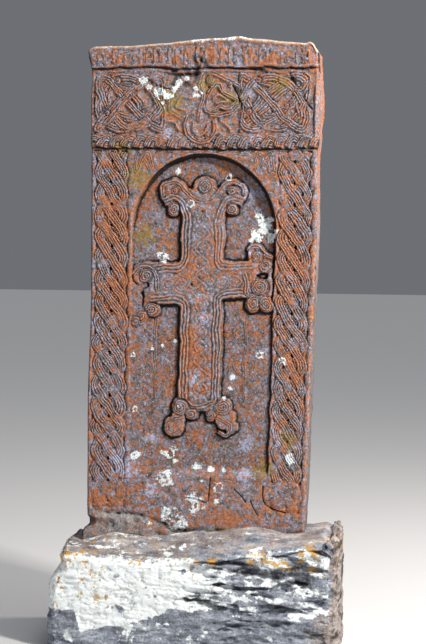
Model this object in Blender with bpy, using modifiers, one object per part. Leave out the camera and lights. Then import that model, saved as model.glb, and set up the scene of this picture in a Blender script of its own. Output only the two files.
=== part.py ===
"""A carved cross-stone slab standing in the socket of a rough base stone.

Metres, +Z up. The carved face looks towards -Y. The origin is in the middle of the base's flat underside.
"""

import math

import bmesh
import bpy
from mathutils import Vector, noise

# Base stone
BASE_WIDTH = 1.05
BASE_DEPTH = 0.52
BASE_LEFT_HEIGHT = 0.385
BASE_DIP_HEIGHT = 0.352
BASE_DIP_X = -0.15
BASE_RIGHT_HEIGHT = 0.436
BASE_FRONT_DROP = 0.025
BASE_FRONT_DROP_REACH = 0.14
BASE_BACK_DROP = 0.050
BASE_BACK_DROP_REACH = 0.18
BASE_SHOULDER_INSET = 0.050
BASE_CORNER_INSET = 0.035
BASE_FRONT_LEAN = 0.012
BASE_ROUGHNESS = 0.012
BASE_ROUGHNESS_SCALE = 9.0
BASE_SEED = 4.0
BASE_TOP_ROUGHNESS = 0.6
BASE_SAW_ALLOWANCE = 0.004
BASE_CELLS = (18, 9, 8)

# Slab
SLAB_LEFT = -0.395
SLAB_RIGHT_TOP = 0.432
SLAB_RIGHT_BOTTOM = 0.392
SLAB_THICKNESS = 0.20
SLAB_FACE_BOTTOM = 0.452
SLAB_TOP = 2.125
SLAB_CROWN_RISE = 0.037
SLAB_CROWN_X = 0.13
SLAB_CROWN_REACH = 0.27
SLAB_BULGE = 0.012
SLAB_BULGE_HEIGHT = 1.95
SLAB_BULGE_REACH = 0.11
SLAB_ROUGHNESS = 0.004
SLAB_ROUGHNESS_SCALE = 11.0
SLAB_SEED = 9.0
SLAB_BACK_ROUGHNESS = 2.5
SLAB_CELLS = (12, 3, 24)
FACE_Y = -SLAB_THICKNESS / 2

# Foot and the socket it stands in
FOOT_LEFT = -0.370
FOOT_RIGHT = 0.380
FOOT_FRONT = -0.090
FOOT_BACK = 0.086
FOOT_BOTTOM = 0.240
FOOT_TOP = 0.480
SOCKET_GAP = 0.0003

# Carving on the front: heights are above the base's underside
TOP_BAND_LOW = 2.052
TOP_BAND_HIGH = 2.122
TOP_BAND_PROUD = 0.016
CORNICE_LOW = 1.822
CORNICE_HIGH = 2.040
CORNICE_PROUD = 0.012
ROPE_LOW = 1.772
ROPE_HIGH = 1.816
ROPE_PROUD = 0.015
RELIEF_ROOT = 0.030
EDGE_MARGIN = 0.004
BAND_EDGE = 0.004
CORNICE_BOSSES = 5
CORNICE_BOSS_RADIUS = 0.045
CORNICE_BOSS_RISE = 0.018

NICHE_CENTRE_X = 0.020
NICHE_HALF_WIDTH = 0.265
NICHE_SPRING = 1.485
NICHE_LOW = 0.635
NICHE_DEPTH = 0.020

CROSS_X = 0.014
CROSS_CENTRE = 1.293
CROSS_TOP = 1.640
CROSS_FOOT = 0.800
CROSS_SHAFT_HALF = 0.072
CROSS_ARM_HALF = 0.060
CROSS_ARM_REACH = 0.195
CROSS_FACE_BACK = 0.003
CROSS_FLARE = 0.012
CROSS_HEAD_FLARE_DROP = 0.14
CROSS_FOOT_FLARE_RISE = 0.12
LOBE_RADIUS = 0.034
HEAD_LOBE_RADIUS = 0.0425
HEAD_LOBE_DROP = 0.045
FOOT_LOBE_RISE = 0.02
FOOT_LEAF_RADIUS = 0.040
FOOT_LEAF_X = 0.105
FOOT_LEAF_DROP = 0.035

MERGE = 0.00001
NEARLY_ONE = 0.999


def start_scene():
    """Empty the scene, and make one collection for the stones and one for the shapes that cut them."""
    for old in list(bpy.data.objects):
        bpy.data.objects.remove(old, do_unlink=True)
    stones = bpy.data.collections.new("cross_stone")
    tools = bpy.data.collections.new("cutters")
    for made in (stones, tools):
        bpy.context.scene.collection.children.link(made)
    return stones, tools


def move_to(piece, collection):
    """Keep the piece in one collection only."""
    for old in list(piece.users_collection):
        old.objects.unlink(piece)
    collection.objects.link(piece)
    return piece


def mark_tool(piece):
    """A shape that only cuts or joins another is drawn as wire and never rendered."""
    piece.hide_render = True
    piece.display_type = "WIRE"
    return piece


def stone_material(name, colour, roughness):
    """Plain dry stone."""
    made = bpy.data.materials.new(name)
    made.use_nodes = True
    shader = made.node_tree.nodes["Principled BSDF"]
    shader.inputs["Base Color"].default_value = (*colour, 1.0)
    shader.inputs["Roughness"].default_value = roughness
    shader.inputs["Metallic"].default_value = 0.0
    return made


def add_block(name, low, high, collection):
    """A cube primitive stretched between two corners, with its scale applied."""
    low, high = Vector(low), Vector(high)
    bpy.ops.mesh.primitive_cube_add(size=1.0, location=(low + high) / 2)
    block = bpy.context.object
    block.name = name
    block.data.name = name
    for vertex in block.data.vertices:
        vertex.co = Vector(a * b for a, b in zip(vertex.co, high - low))
    return move_to(block, collection)


def add_grid_block(name, size, cells, collection):
    """A cube primitive around the origin, cut into cells along each axis."""
    bpy.ops.mesh.primitive_cube_add(size=1.0, location=(0, 0, 0))
    block = bpy.context.object
    block.name = name
    block.data.name = name
    shape = bmesh.new()
    shape.from_mesh(block.data)
    for axis in range(3):
        normal = Vector(1.0 if i == axis else 0.0 for i in range(3))
        for step in range(1, cells[axis]):
            everything = shape.verts[:] + shape.edges[:] + shape.faces[:]
            point = normal * (step / cells[axis] - 0.5)
            bmesh.ops.bisect_plane(shape, geom=everything, plane_co=point, plane_no=normal, dist=MERGE)
    for vertex in shape.verts:
        vertex.co = Vector(a * b for a, b in zip(vertex.co, size))
    shape.to_mesh(block.data)
    shape.free()
    return move_to(block, collection)


def add_prism(name, splines, front, back, collection):
    """A flat outline in the X-Z plane, extruded from y = front to y = back and made a mesh."""
    outline = bpy.data.curves.new(name, "CURVE")
    outline.dimensions = "2D"
    outline.fill_mode = "BOTH"
    outline.extrude = (back - front) / 2
    for points in splines:
        spline = outline.splines.new("POLY")
        spline.points.add(len(points) - 1)
        spline.use_cyclic_u = True
        for target, (x, z) in zip(spline.points, points):
            target.co = (x, z, 0.0, 1.0)
    drawn = bpy.data.objects.new(name + "_outline", outline)
    collection.objects.link(drawn)
    drawn.rotation_euler = (math.pi / 2, 0, 0)
    drawn.location = (0, (front + back) / 2, 0)
    bpy.context.view_layer.update()
    solid = bpy.data.meshes.new_from_object(drawn.evaluated_get(bpy.context.evaluated_depsgraph_get()))
    shape = bmesh.new()
    shape.from_mesh(solid)
    bmesh.ops.remove_doubles(shape, verts=shape.verts, dist=MERGE)
    bmesh.ops.recalc_face_normals(shape, faces=shape.faces)
    shape.to_mesh(solid)
    shape.free()
    prism = bpy.data.objects.new(name, solid)
    prism.matrix_world = drawn.matrix_world
    collection.objects.link(prism)
    bpy.data.objects.remove(drawn, do_unlink=True)
    return prism


def add_boss(name, x, z, radius, rise, collection):
    """A low round boss: a half-sunk ball flattened towards the face."""
    bpy.ops.mesh.primitive_uv_sphere_add(segments=16, ring_count=8, radius=1.0, location=(x, FACE_Y, z))
    boss = bpy.context.object
    boss.name = name
    boss.data.name = name
    for vertex in boss.data.vertices:
        vertex.co = Vector((vertex.co.x * radius, vertex.co.y * rise, vertex.co.z * radius))
    return move_to(boss, collection)


def bevel(piece, width, segments=1):
    """Ease the piece's sharp edges."""
    made = piece.modifiers.new("Eased edges", "BEVEL")
    made.width = width
    made.segments = segments
    made.limit_method = "ANGLE"


def combine(piece, tool, operation):
    """Cut the tool from the piece, or join it on."""
    made = piece.modifiers.new(tool.name, "BOOLEAN")
    made.operation = operation
    made.solver = "EXACT"
    made.object = mark_tool(tool)


def round_shading(piece):
    """Soft shading, with the cut edges kept crisp."""
    piece.data.shade_smooth()
    piece.data.set_sharp_from_angle(angle=math.radians(40))


def wander(point, scale, seed):
    """A smooth, repeatable unevenness between about -1 and 1."""
    place = Vector(point) * scale + Vector((seed, seed * 1.7, seed * 0.3))
    return noise.noise(place) + 0.5 * noise.noise(place * 2.1)


def round_off(share):
    """-1 or 1 at the two ends of a side, and 0 between them."""
    return math.copysign(1.0, share) if abs(share) > NEARLY_ONE else 0.0


def arc(centre, radius, start, end, steps):
    """Points along a round stretch; angles in degrees, counter-clockwise from +X."""
    points = []
    for step in range(steps + 1):
        angle = math.radians(start + (end - start) * step / steps)
        points.append((centre[0] + radius * math.cos(angle), centre[1] + radius * math.sin(angle)))
    return points


def base_top(x, y):
    """Height of the base's worn top: low left of the middle, rising to the right, lower to front and back."""
    half = BASE_WIDTH / 2
    if x < BASE_DIP_X:
        share = (BASE_DIP_X - x) / (half + BASE_DIP_X)
        height = BASE_DIP_HEIGHT + (BASE_LEFT_HEIGHT - BASE_DIP_HEIGHT) * share
    else:
        share = (x - BASE_DIP_X) / (half - BASE_DIP_X)
        height = BASE_DIP_HEIGHT + (BASE_RIGHT_HEIGHT - BASE_DIP_HEIGHT) * share
    height -= BASE_FRONT_DROP * max(0.0, 1.0 - (BASE_DEPTH / 2 + y) / BASE_FRONT_DROP_REACH)
    height -= BASE_BACK_DROP * max(0.0, 1.0 - (BASE_DEPTH / 2 - y) / BASE_BACK_DROP_REACH)
    return height


def make_base(stones, tools):
    """The rough block: a cube cut into cells and roughened, with a flat underside and the foot's socket."""
    base = add_grid_block("base_stone", (1.0, 1.0, 1.0), BASE_CELLS, stones)
    for vertex in base.data.vertices:
        across, deep, up = vertex.co.x * 2, vertex.co.y * 2, vertex.co.z + 0.5
        left_shoulder = BASE_SHOULDER_INSET * up**1.5 if across < 0 else 0.0
        corner = 1.0 - BASE_CORNER_INSET * abs(across * deep) ** 3
        x = across * (BASE_WIDTH / 2 - left_shoulder) * corner
        y = deep * (BASE_DEPTH / 2 - BASE_FRONT_LEAN * up) * corner
        z = up * base_top(x, y)
        rough = abs(BASE_ROUGHNESS * wander((x, y, z), BASE_ROUGHNESS_SCALE, BASE_SEED))
        outward = Vector((round_off(across), round_off(deep), 0.0))
        if outward.length:
            x -= outward.normalized().x * rough
            y -= outward.normalized().y * rough
        elif up > NEARLY_ONE:
            z -= rough * BASE_TOP_ROUGHNESS
        vertex.co = (x, y, z - BASE_SAW_ALLOWANCE * (1.0 - up))
    level_underside(base)
    centre_over_origin(base)
    foot_low = (FOOT_LEFT - SOCKET_GAP, FOOT_FRONT - SOCKET_GAP, FOOT_BOTTOM - SOCKET_GAP)
    foot_high = (FOOT_RIGHT + SOCKET_GAP, FOOT_BACK + SOCKET_GAP, FOOT_TOP + 0.1)
    combine(base, add_block("socket", foot_low, foot_high, tools), "DIFFERENCE")
    round_shading(base)
    base.data.materials.append(stone_material("grey base stone", (0.36, 0.35, 0.35), 0.92))
    return base


def centre_over_origin(piece):
    """Shift the mesh sideways so that its box is centred on the origin."""
    for axis in (0, 1):
        places = [vertex.co[axis] for vertex in piece.data.vertices]
        middle = (min(places) + max(places)) / 2
        for vertex in piece.data.vertices:
            vertex.co[axis] -= middle


def level_underside(piece):
    """Saw the underside off level at z = 0."""
    shape = bmesh.new()
    shape.from_mesh(piece.data)
    everything = shape.verts[:] + shape.edges[:] + shape.faces[:]
    cut = bmesh.ops.bisect_plane(
        shape, geom=everything, plane_co=(0, 0, 0), plane_no=(0, 0, -1), dist=MERGE, clear_outer=True
    )
    rim = [item for item in cut["geom_cut"] if isinstance(item, bmesh.types.BMEdge)]
    bmesh.ops.contextual_create(shape, geom=rim)
    bmesh.ops.triangulate(shape, faces=shape.faces)
    bmesh.ops.recalc_face_normals(shape, faces=shape.faces)
    shape.to_mesh(piece.data)
    shape.free()


def slab_right(z):
    """The right edge leans in slightly towards the foot."""
    share = (z - SLAB_FACE_BOTTOM) / (SLAB_TOP - SLAB_FACE_BOTTOM)
    return SLAB_RIGHT_BOTTOM + (SLAB_RIGHT_TOP - SLAB_RIGHT_BOTTOM) * share


def make_slab_body(stones):
    """The dressed slab before carving: uneven edges, a worn crown and a proud lump on the right side."""
    slab = add_grid_block("carved_slab", (1.0, 1.0, 1.0), SLAB_CELLS, stones)
    for vertex in slab.data.vertices:
        across, deep, up = vertex.co.x + 0.5, vertex.co.y * 2, vertex.co.z + 0.5
        z = SLAB_FACE_BOTTOM + up * (SLAB_TOP - SLAB_FACE_BOTTOM)
        x = SLAB_LEFT + across * (slab_right(z) - SLAB_LEFT)
        y = deep * SLAB_THICKNESS / 2
        rough = abs(SLAB_ROUGHNESS * wander((x, y, z), SLAB_ROUGHNESS_SCALE, SLAB_SEED))
        if up > NEARLY_ONE:
            z += SLAB_CROWN_RISE * math.exp(-(((x - SLAB_CROWN_X) / SLAB_CROWN_REACH) ** 2)) - rough
        if across > NEARLY_ONE and deep > -NEARLY_ONE:
            lump = math.exp(-(((z - SLAB_BULGE_HEIGHT) / SLAB_BULGE_REACH) ** 2))
            x += SLAB_BULGE * lump * (0.6 + 0.4 * deep)
        if across < 1.0 - NEARLY_ONE:
            x += rough
        if deep > NEARLY_ONE:
            y -= rough * SLAB_BACK_ROUGHNESS
        vertex.co = (x, y, z)
    return slab


def niche_outline():
    """A round-headed opening."""
    left = NICHE_CENTRE_X - NICHE_HALF_WIDTH
    right = NICHE_CENTRE_X + NICHE_HALF_WIDTH
    head = arc((NICHE_CENTRE_X, NICHE_SPRING), NICHE_HALF_WIDTH, 0, 180, 24)
    return [(right, NICHE_LOW)] + head + [(left, NICHE_LOW)]


def cross_outline():
    """A Latin cross whose ends flare slightly."""
    flare, shaft, reach = CROSS_FLARE, CROSS_SHAFT_HALF, CROSS_ARM_REACH
    upper = CROSS_CENTRE + CROSS_ARM_HALF
    lower = CROSS_CENTRE - CROSS_ARM_HALF
    right_half = [
        (shaft + flare, CROSS_FOOT),
        (shaft, CROSS_FOOT + CROSS_FOOT_FLARE_RISE),
        (shaft, lower),
        (reach, lower - flare),
        (reach, upper + flare),
        (shaft, upper),
        (shaft, CROSS_TOP - CROSS_HEAD_FLARE_DROP),
        (shaft + flare, CROSS_TOP),
    ]
    left_half = [(-x, z) for x, z in reversed(right_half)]
    return [(CROSS_X + x, z) for x, z in right_half + left_half]


def cross_lobes():
    """The rounded lobes at the cross's ends: centre and radius of each."""
    side = CROSS_ARM_REACH + LOBE_RADIUS * 0.55
    arm = CROSS_ARM_HALF + LOBE_RADIUS * 0.45
    top = CROSS_SHAFT_HALF + LOBE_RADIUS * 0.2
    lobes = []
    for sign in (-1, 1):
        lobes.append((CROSS_X + sign * side, CROSS_CENTRE + arm, LOBE_RADIUS))
        lobes.append((CROSS_X + sign * side, CROSS_CENTRE - arm, LOBE_RADIUS))
        lobes.append((CROSS_X + sign * top, CROSS_TOP - HEAD_LOBE_DROP, HEAD_LOBE_RADIUS))
        lobes.append((CROSS_X + sign * CROSS_SHAFT_HALF, CROSS_FOOT + FOOT_LOBE_RISE, FOOT_LEAF_RADIUS))
        lobes.append((CROSS_X + sign * FOOT_LEAF_X, CROSS_FOOT - FOOT_LEAF_DROP, FOOT_LEAF_RADIUS))
    return lobes


def make_slab(stones, tools):
    """The slab with its niche cut in, the cross left standing, the bands proud and the foot below."""
    slab = make_slab_body(stones)
    floor = FACE_Y + NICHE_DEPTH
    niche = add_prism("niche", [niche_outline()], FACE_Y - 0.05, floor, tools)
    combine(slab, niche, "DIFFERENCE")
    cross_face = FACE_Y + CROSS_FACE_BACK
    combine(slab, add_prism("cross", [cross_outline()], cross_face, floor + 0.02, tools), "UNION")
    for number, (x, z, radius) in enumerate(cross_lobes(), start=1):
        disc = [arc((x, z), radius, 0, 345, 23)]
        lobe = add_prism(f"lobe_{number}", disc, cross_face + 0.001, floor + 0.015, tools)
        combine(slab, lobe, "UNION")
    bands = (
        ("top_band", TOP_BAND_LOW, TOP_BAND_HIGH, TOP_BAND_PROUD),
        ("cornice", CORNICE_LOW, CORNICE_HIGH, CORNICE_PROUD),
        ("rope_band", ROPE_LOW, ROPE_HIGH, ROPE_PROUD),
    )
    for name, low, high, proud in bands:
        right = slab_right((low + high) / 2) - EDGE_MARGIN
        corner = (right, FACE_Y + RELIEF_ROOT, high)
        band = add_block(name, (SLAB_LEFT + EDGE_MARGIN, FACE_Y - proud, low), corner, tools)
        bevel(band, BAND_EDGE)
        combine(slab, band, "UNION")
    panel_middle = (CORNICE_LOW + CORNICE_HIGH) / 2
    for column in range(CORNICE_BOSSES):
        x = SLAB_LEFT + (column + 0.5) / CORNICE_BOSSES * (SLAB_RIGHT_TOP - SLAB_LEFT)
        boss = add_boss(f"boss_{column + 1}", x, panel_middle, CORNICE_BOSS_RADIUS, CORNICE_BOSS_RISE, tools)
        combine(slab, boss, "UNION")
    foot = add_block("foot", (FOOT_LEFT, FOOT_FRONT, FOOT_BOTTOM), (FOOT_RIGHT, FOOT_BACK, FOOT_TOP), tools)
    combine(slab, foot, "UNION")
    round_shading(slab)
    slab.data.materials.append(stone_material("lichened red tuff", (0.33, 0.16, 0.11), 0.88))
    return slab


def main():
    """Build both stones."""
    stones, tools = start_scene()
    make_base(stones, tools)
    make_slab(stones, tools)


main()
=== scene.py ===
"""Looks of a carved cross-stone slab that stands by its rough foot in an undressed base stone.

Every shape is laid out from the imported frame's boxes, in metres: +X to the right as one faces the carving,
+Z up, and the carved face looks towards -Y.
"""
import logging
import math
from dataclasses import dataclass, field
from enum import Enum
from typing import Any, Callable, Iterable, Sequence

import bmesh
import bpy
import numpy as np
from mathutils import Matrix, Vector


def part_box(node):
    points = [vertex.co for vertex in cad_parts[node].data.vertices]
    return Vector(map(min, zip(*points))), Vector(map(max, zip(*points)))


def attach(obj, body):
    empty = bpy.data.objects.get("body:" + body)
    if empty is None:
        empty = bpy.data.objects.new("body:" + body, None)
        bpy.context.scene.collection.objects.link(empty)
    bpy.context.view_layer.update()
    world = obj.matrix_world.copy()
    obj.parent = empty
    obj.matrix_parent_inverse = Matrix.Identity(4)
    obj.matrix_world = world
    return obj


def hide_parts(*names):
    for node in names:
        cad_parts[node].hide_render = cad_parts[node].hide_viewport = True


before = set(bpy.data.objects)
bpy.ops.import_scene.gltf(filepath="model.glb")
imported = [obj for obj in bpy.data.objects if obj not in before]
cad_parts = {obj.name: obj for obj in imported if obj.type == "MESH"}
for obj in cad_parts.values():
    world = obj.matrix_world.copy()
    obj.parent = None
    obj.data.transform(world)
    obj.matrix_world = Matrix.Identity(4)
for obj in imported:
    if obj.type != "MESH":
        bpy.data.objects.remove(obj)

LOG = logging.getLogger("cross_stone")
MILLIMETRE = 0.001
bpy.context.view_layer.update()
Point = tuple[float, float]
Array = np.ndarray
Places = Sequence[tuple[Array, Array]]
Piece = bpy.types.Object
Socket = bpy.types.NodeSocket
Material = bpy.types.Material


def mm(value: float) -> float:
    """Millimetres as metres."""
    return value * MILLIMETRE


def linear(colour: str) -> tuple[float, float, float, float]:
    """Turn an sRGB hex colour into the linear colour that shaders use.

    Args:
        colour: Six hex digits after a hash sign.

    Returns:
        Linear red, green, blue and an alpha of 1.
    """
    parts = [int(colour[place : place + 2], 16) / 255 for place in (1, 3, 5)]
    red, green, blue = [p / 12.92 if p <= 0.04045 else ((p + 0.055) / 1.055) ** 2.4 for p in parts]
    return red, green, blue, 1.0


def ease(values: Array, start: float, end: float) -> Array:
    """Smooth step from 0 at start to 1 at end.

    Args:
        values: Where to read the step.
        start: Value that gives 0.
        end: Value that gives 1.

    Returns:
        The eased share for each value.
    """
    share = np.clip((values - start) / (end - start), 0.0, 1.0)
    return share * share * (3.0 - 2.0 * share)


def blur(values: Array, radius: float) -> Array:
    """Soften a grid with a round Gaussian brush.

    Args:
        values: The grid.
        radius: The brush's standard deviation, in cells.

    Returns:
        The softened grid.
    """
    margin = int(radius * 4) + 1
    padded = np.pad(values, margin, mode="edge")
    down = np.fft.fftfreq(padded.shape[0])[:, None]
    across = np.fft.rfftfreq(padded.shape[1])[None, :]
    brush = np.exp(-2.0 * (math.pi * radius) ** 2 * (down**2 + across**2))
    soft = np.fft.irfft2(np.fft.rfft2(padded) * brush, s=padded.shape)
    return soft[margin:-margin, margin:-margin]


def smooth_path(points: Sequence[Point], spacing: float, closed: bool = False) -> Array:
    """A smooth curve through a few points, read at even steps.

    Args:
        points: The points that the curve passes through.
        spacing: Distance between the points read, in metres.
        closed: Whether the curve runs back to its start.

    Returns:
        Points along the curve, one row each.
    """
    knots = np.array(points, float)
    count = len(knots)
    spans = count if closed else count - 1
    rows = []
    for span in range(spans):
        if closed:
            a, b, c, d = (knots[(span + step) % count] for step in (-1, 0, 1, 2))
        else:
            a, b, c, d = (knots[min(max(span + step, 0), count - 1)] for step in (-1, 0, 1, 2))
        steps = max(2, int(np.linalg.norm(c - b) / spacing))
        t = np.arange(steps)[:, None] / steps
        rows.append(
            0.5 * (2 * b + (c - a) * t + (2 * a - 5 * b + 4 * c - d) * t**2 + (3 * b - a - 3 * c + d) * t**3)
        )
    rows.append(knots[:1] if closed else knots[-1:])
    return np.concatenate(rows)


class Unevenness:
    """Smooth, repeatable noise in space, for arrays of points."""

    CELLS = 256

    def __init__(self, seed: int) -> None:
        """Fill the tables of slopes.

        Args:
            seed: Any whole number; the same one gives the same stone.
        """
        draw = np.random.default_rng(seed)
        self.order = np.tile(draw.permutation(self.CELLS), 3)
        slopes = draw.normal(size=(self.CELLS, 3))
        self.slopes = slopes / np.linalg.norm(slopes, axis=1, keepdims=True)

    def _corner(self, cell: Array, rest: Array, step: tuple[int, int, int]) -> Array:
        """The pull of one corner of each point's cell.

        Args:
            cell: Each point's cell.
            rest: Place inside the cell, from 0 to 1.
            step: Which corner.

        Returns:
            One value a point.
        """
        i, j, k = ((cell[:, axis] + step[axis]) % self.CELLS for axis in range(3))
        slope = self.slopes[self.order[self.order[self.order[i] + j] + k]]
        return ((rest - np.array(step)) * slope).sum(axis=1)

    def at(self, places: Array) -> Array:
        """Noise of about -1 to 1 whose features are about one unit across.

        Args:
            places: Points, one row each.

        Returns:
            One value a point.
        """
        cell = np.floor(places).astype(np.int64)
        rest = places - cell
        u, v, w = (rest**3 * (rest * (rest * 6 - 15) + 10)).T
        total = np.zeros(len(places))
        for step in np.ndindex(2, 2, 2):
            share = (u if step[0] else 1 - u) * (v if step[1] else 1 - v) * (w if step[2] else 1 - w)
            total += share * self._corner(cell, rest, step)
        return total * 1.6

    def layers(self, places: Array, size: float, count: int = 4, keep: float = 0.5) -> Array:
        """Several sizes of noise added up.

        Args:
            places: Points in metres, one row each.
            size: Width of the largest features, in metres.
            count: How many sizes, each half the last.
            keep: Strength of each size against the last.

        Returns:
            One value a point, of about -1 to 1.
        """
        total = np.zeros(len(places))
        strength, reach = 1.0, 0.0
        for layer in range(count):
            total += strength * self.at(places * (2.0**layer / size) + 17.3 * layer)
            reach += strength
            strength *= keep
        return total / reach * 1.5


@dataclass(frozen=True)
class Strand:
    """A carved ribbon: several round cords side by side, with a groove between each two."""

    width: float
    cords: int
    rise: float
    moat: float

    @property
    def cord_width(self) -> float:
        """Width of one cord."""
        return self.width / self.cords

    @property
    def shift(self) -> float:
        """Half a cord where the ribbon's middle is a groove."""
        return 0.0 if self.cords % 2 else 0.5

    def profile(self, offset: Array) -> Array:
        """Height over the sunk ground, at a distance from the ribbon's middle.

        Args:
            offset: Distance from the middle, in metres.

        Returns:
            Height in metres.
        """
        share = offset / self.cord_width + self.shift + 0.5
        across = 2.0 * (share - np.floor(share)) - 1.0
        cord = np.sqrt(np.clip(1.0 - 0.92 * across**2, 0.0, 1.0))
        return self.rise * (0.34 + 0.66 * cord)


@dataclass
class Relief:
    """A grid of heights over the carved face, in metres proud of the dressed face."""

    left: float
    right: float
    low: float
    high: float
    pitch: float
    x: Array = field(init=False)
    z: Array = field(init=False)
    height: Array = field(init=False)
    cord: Array = field(init=False)
    lined: Array = field(init=False)

    def __post_init__(self) -> None:
        """Lay out the grid, with the cords' own map: how many cords aside each place is, and how clearly."""
        columns = int(round((self.right - self.left) / self.pitch)) + 1
        rows = int(round((self.high - self.low) / self.pitch)) + 1
        self.x = np.linspace(self.left, self.right, columns)
        self.z = np.linspace(self.low, self.high, rows)
        self.height = np.zeros((rows, columns))
        self.cord = np.zeros((rows, columns))
        self.lined = np.zeros((rows, columns))

    def window(self, x0: float, x1: float, z0: float, z1: float) -> tuple[slice, slice]:
        """Rows and columns of a rectangle, clipped to the grid.

        Args:
            x0: Left edge.
            x1: Right edge.
            z0: Lower edge.
            z1: Upper edge.

        Returns:
            The rows and the columns.
        """
        columns = np.searchsorted(self.x, (x0, x1))
        rows = np.searchsorted(self.z, (z0, z1))
        return slice(rows[0], rows[1]), slice(columns[0], columns[1])

    def places(self) -> Array:
        """Every grid point as a row of x, 0 and z."""
        x, z = np.meshgrid(self.x, self.z)
        return np.stack([x.ravel(), np.zeros(x.size), z.ravel()], axis=1)

    def grid(self, values: Array) -> Array:
        """Values listed by point, as a grid."""
        return values.reshape(self.height.shape)

    def near(self, path: Array, reach: float) -> tuple[tuple[slice, slice], Array, Array]:
        """Distance from a path, for the cells around it.

        Args:
            path: Points along the path, one row each.
            reach: How far around the path to look, in metres.

        Returns:
            The window of cells, each cell's distance (negative on the path's left), and whether it is
            beside the path, not past its ends.
        """
        low, high = path.min(axis=0) - reach, path.max(axis=0) + reach
        rows, columns = self.window(low[0], high[0], low[1], high[1])
        xs, zs = self.x[columns], self.z[rows]
        distance = np.full((len(zs), len(xs)), np.inf)
        inside = np.zeros_like(distance, dtype=bool)
        last = len(path) - 2
        for index, (start, end) in enumerate(zip(path[:-1], path[1:])):
            step = end - start
            length = float(step @ step)
            if length == 0.0:
                continue
            c = slice(*np.searchsorted(xs, (min(start[0], end[0]) - reach, max(start[0], end[0]) + reach)))
            r = slice(*np.searchsorted(zs, (min(start[1], end[1]) - reach, max(start[1], end[1]) + reach)))
            dx, dz = xs[c][None, :] - start[0], zs[r][:, None] - start[1]
            along = (dx * step[0] + dz * step[1]) / length
            share = np.clip(along, 0.0, 1.0)
            far = np.hypot(dx - share * step[0], dz - share * step[1])
            side = np.where(dx * step[1] > dz * step[0], 1.0, -1.0)
            here = np.ones_like(far, dtype=bool)
            if index == 0:
                here &= along >= 0.0
            if index == last:
                here &= along <= 1.0
            closer = far < np.abs(distance[r, c])
            distance[r, c] = np.where(closer, far * side, distance[r, c])
            inside[r, c] = np.where(closer, here, inside[r, c])
        return (rows, columns), distance, inside

    def lay(self, path: Array, strand: Strand, ground: float, strength: float = 1.0) -> None:
        """Carve a ribbon over whatever it crosses, with a cut groove along each side.

        Args:
            path: Points along the ribbon's middle.
            strand: The ribbon's make.
            ground: Height of the sunk ground it rises from.
            strength: 1 for crisp carving, less where it is worn away.
        """
        half = strand.width / 2
        place, aside, inside = self.near(path, half + strand.moat)
        distance = np.abs(aside)
        target, cord, lined = self.height[place], self.cord[place], self.lined[place]
        groove = (distance < half + strand.moat) & (distance >= half) & inside
        raised = (distance < half) & inside
        cut = ground - mm(0.6)
        target[groove] = np.minimum(target[groove], target[groove] * (1 - strength) + cut * strength)
        shaped = ground + strand.profile(distance[raised])
        target[raised] = target[raised] * (1 - strength) + shaped * strength
        beside = groove | raised
        cord[beside] = aside[beside] / strand.cord_width + strand.shift
        lined[groove] = 0.0
        lined[raised] = strength

    def boss(self, x: float, z: float, radius: float, rise: float, ground: float, rings: float = 0.0) -> None:
        """Carve a round boss, plain or wound like a snail.

        Args:
            x: Middle of the boss.
            z: Height of its middle.
            radius: Its radius.
            rise: Height of its crown over the ground.
            ground: Height of the ground around it.
            rings: Distance between the turns of its spiral groove, or 0 for a plain dome.
        """
        reach = radius * 1.2
        place = self.window(x - reach, x + reach, z - reach, z + reach)
        dx, dz = self.x[place[1]][None, :] - x, self.z[place[0]][:, None] - z
        distance = np.hypot(dx, dz)
        dome = rise * np.sqrt(np.clip(1.0 - (distance / radius) ** 2 * 0.75, 0.0, 1.0))
        if rings:
            turn = distance / rings + np.arctan2(dz, dx) / (2 * math.pi)
            across = 2.0 * (turn + 0.5 - np.floor(turn + 0.5)) - 1.0
            dome *= 0.45 + 0.55 * np.sqrt(1.0 - 0.95 * across**2)
        target = self.height[place]
        moat = (distance < reach) & (distance >= radius)
        target[moat] = np.minimum(target[moat], ground - mm(0.6))
        inner = distance < radius
        target[inner] = ground + dome[inner]
        if rings:
            self.cord[place][inner] = turn[inner]
            self.lined[place][inner] = 1.0

    def drill(self, x: float, z: float, radius: float, depth: float) -> None:
        """Sink a small round-bottomed hole.

        Args:
            x: Middle of the hole.
            z: Height of its middle.
            radius: Its radius.
            depth: Its depth.
        """
        place = self.window(x - radius, x + radius, z - radius, z + radius)
        distance = np.hypot(self.x[place[1]][None, :] - x, self.z[place[0]][:, None] - z) / radius
        self.height[place] -= depth * np.clip(1.0 - distance**2, 0.0, 1.0)

    def sink_box(self, x0: float, x1: float, z0: float, z1: float, ground: float, slope: float) -> None:
        """Cut a flat-bottomed panel down to a ground height, with a short slope round it.

        Args:
            x0: Left edge.
            x1: Right edge.
            z0: Lower edge.
            z1: Upper edge.
            ground: Height of the panel's bottom.
            slope: Width of the slope.
        """
        x, z = self.x[None, :], self.z[:, None]
        inside = np.minimum(np.minimum(x - x0, x1 - x), np.minimum(z - z0, z1 - z))
        share = ease(inside, -slope / 2, slope / 2)
        self.height += share * (ground - self.height)


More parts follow.
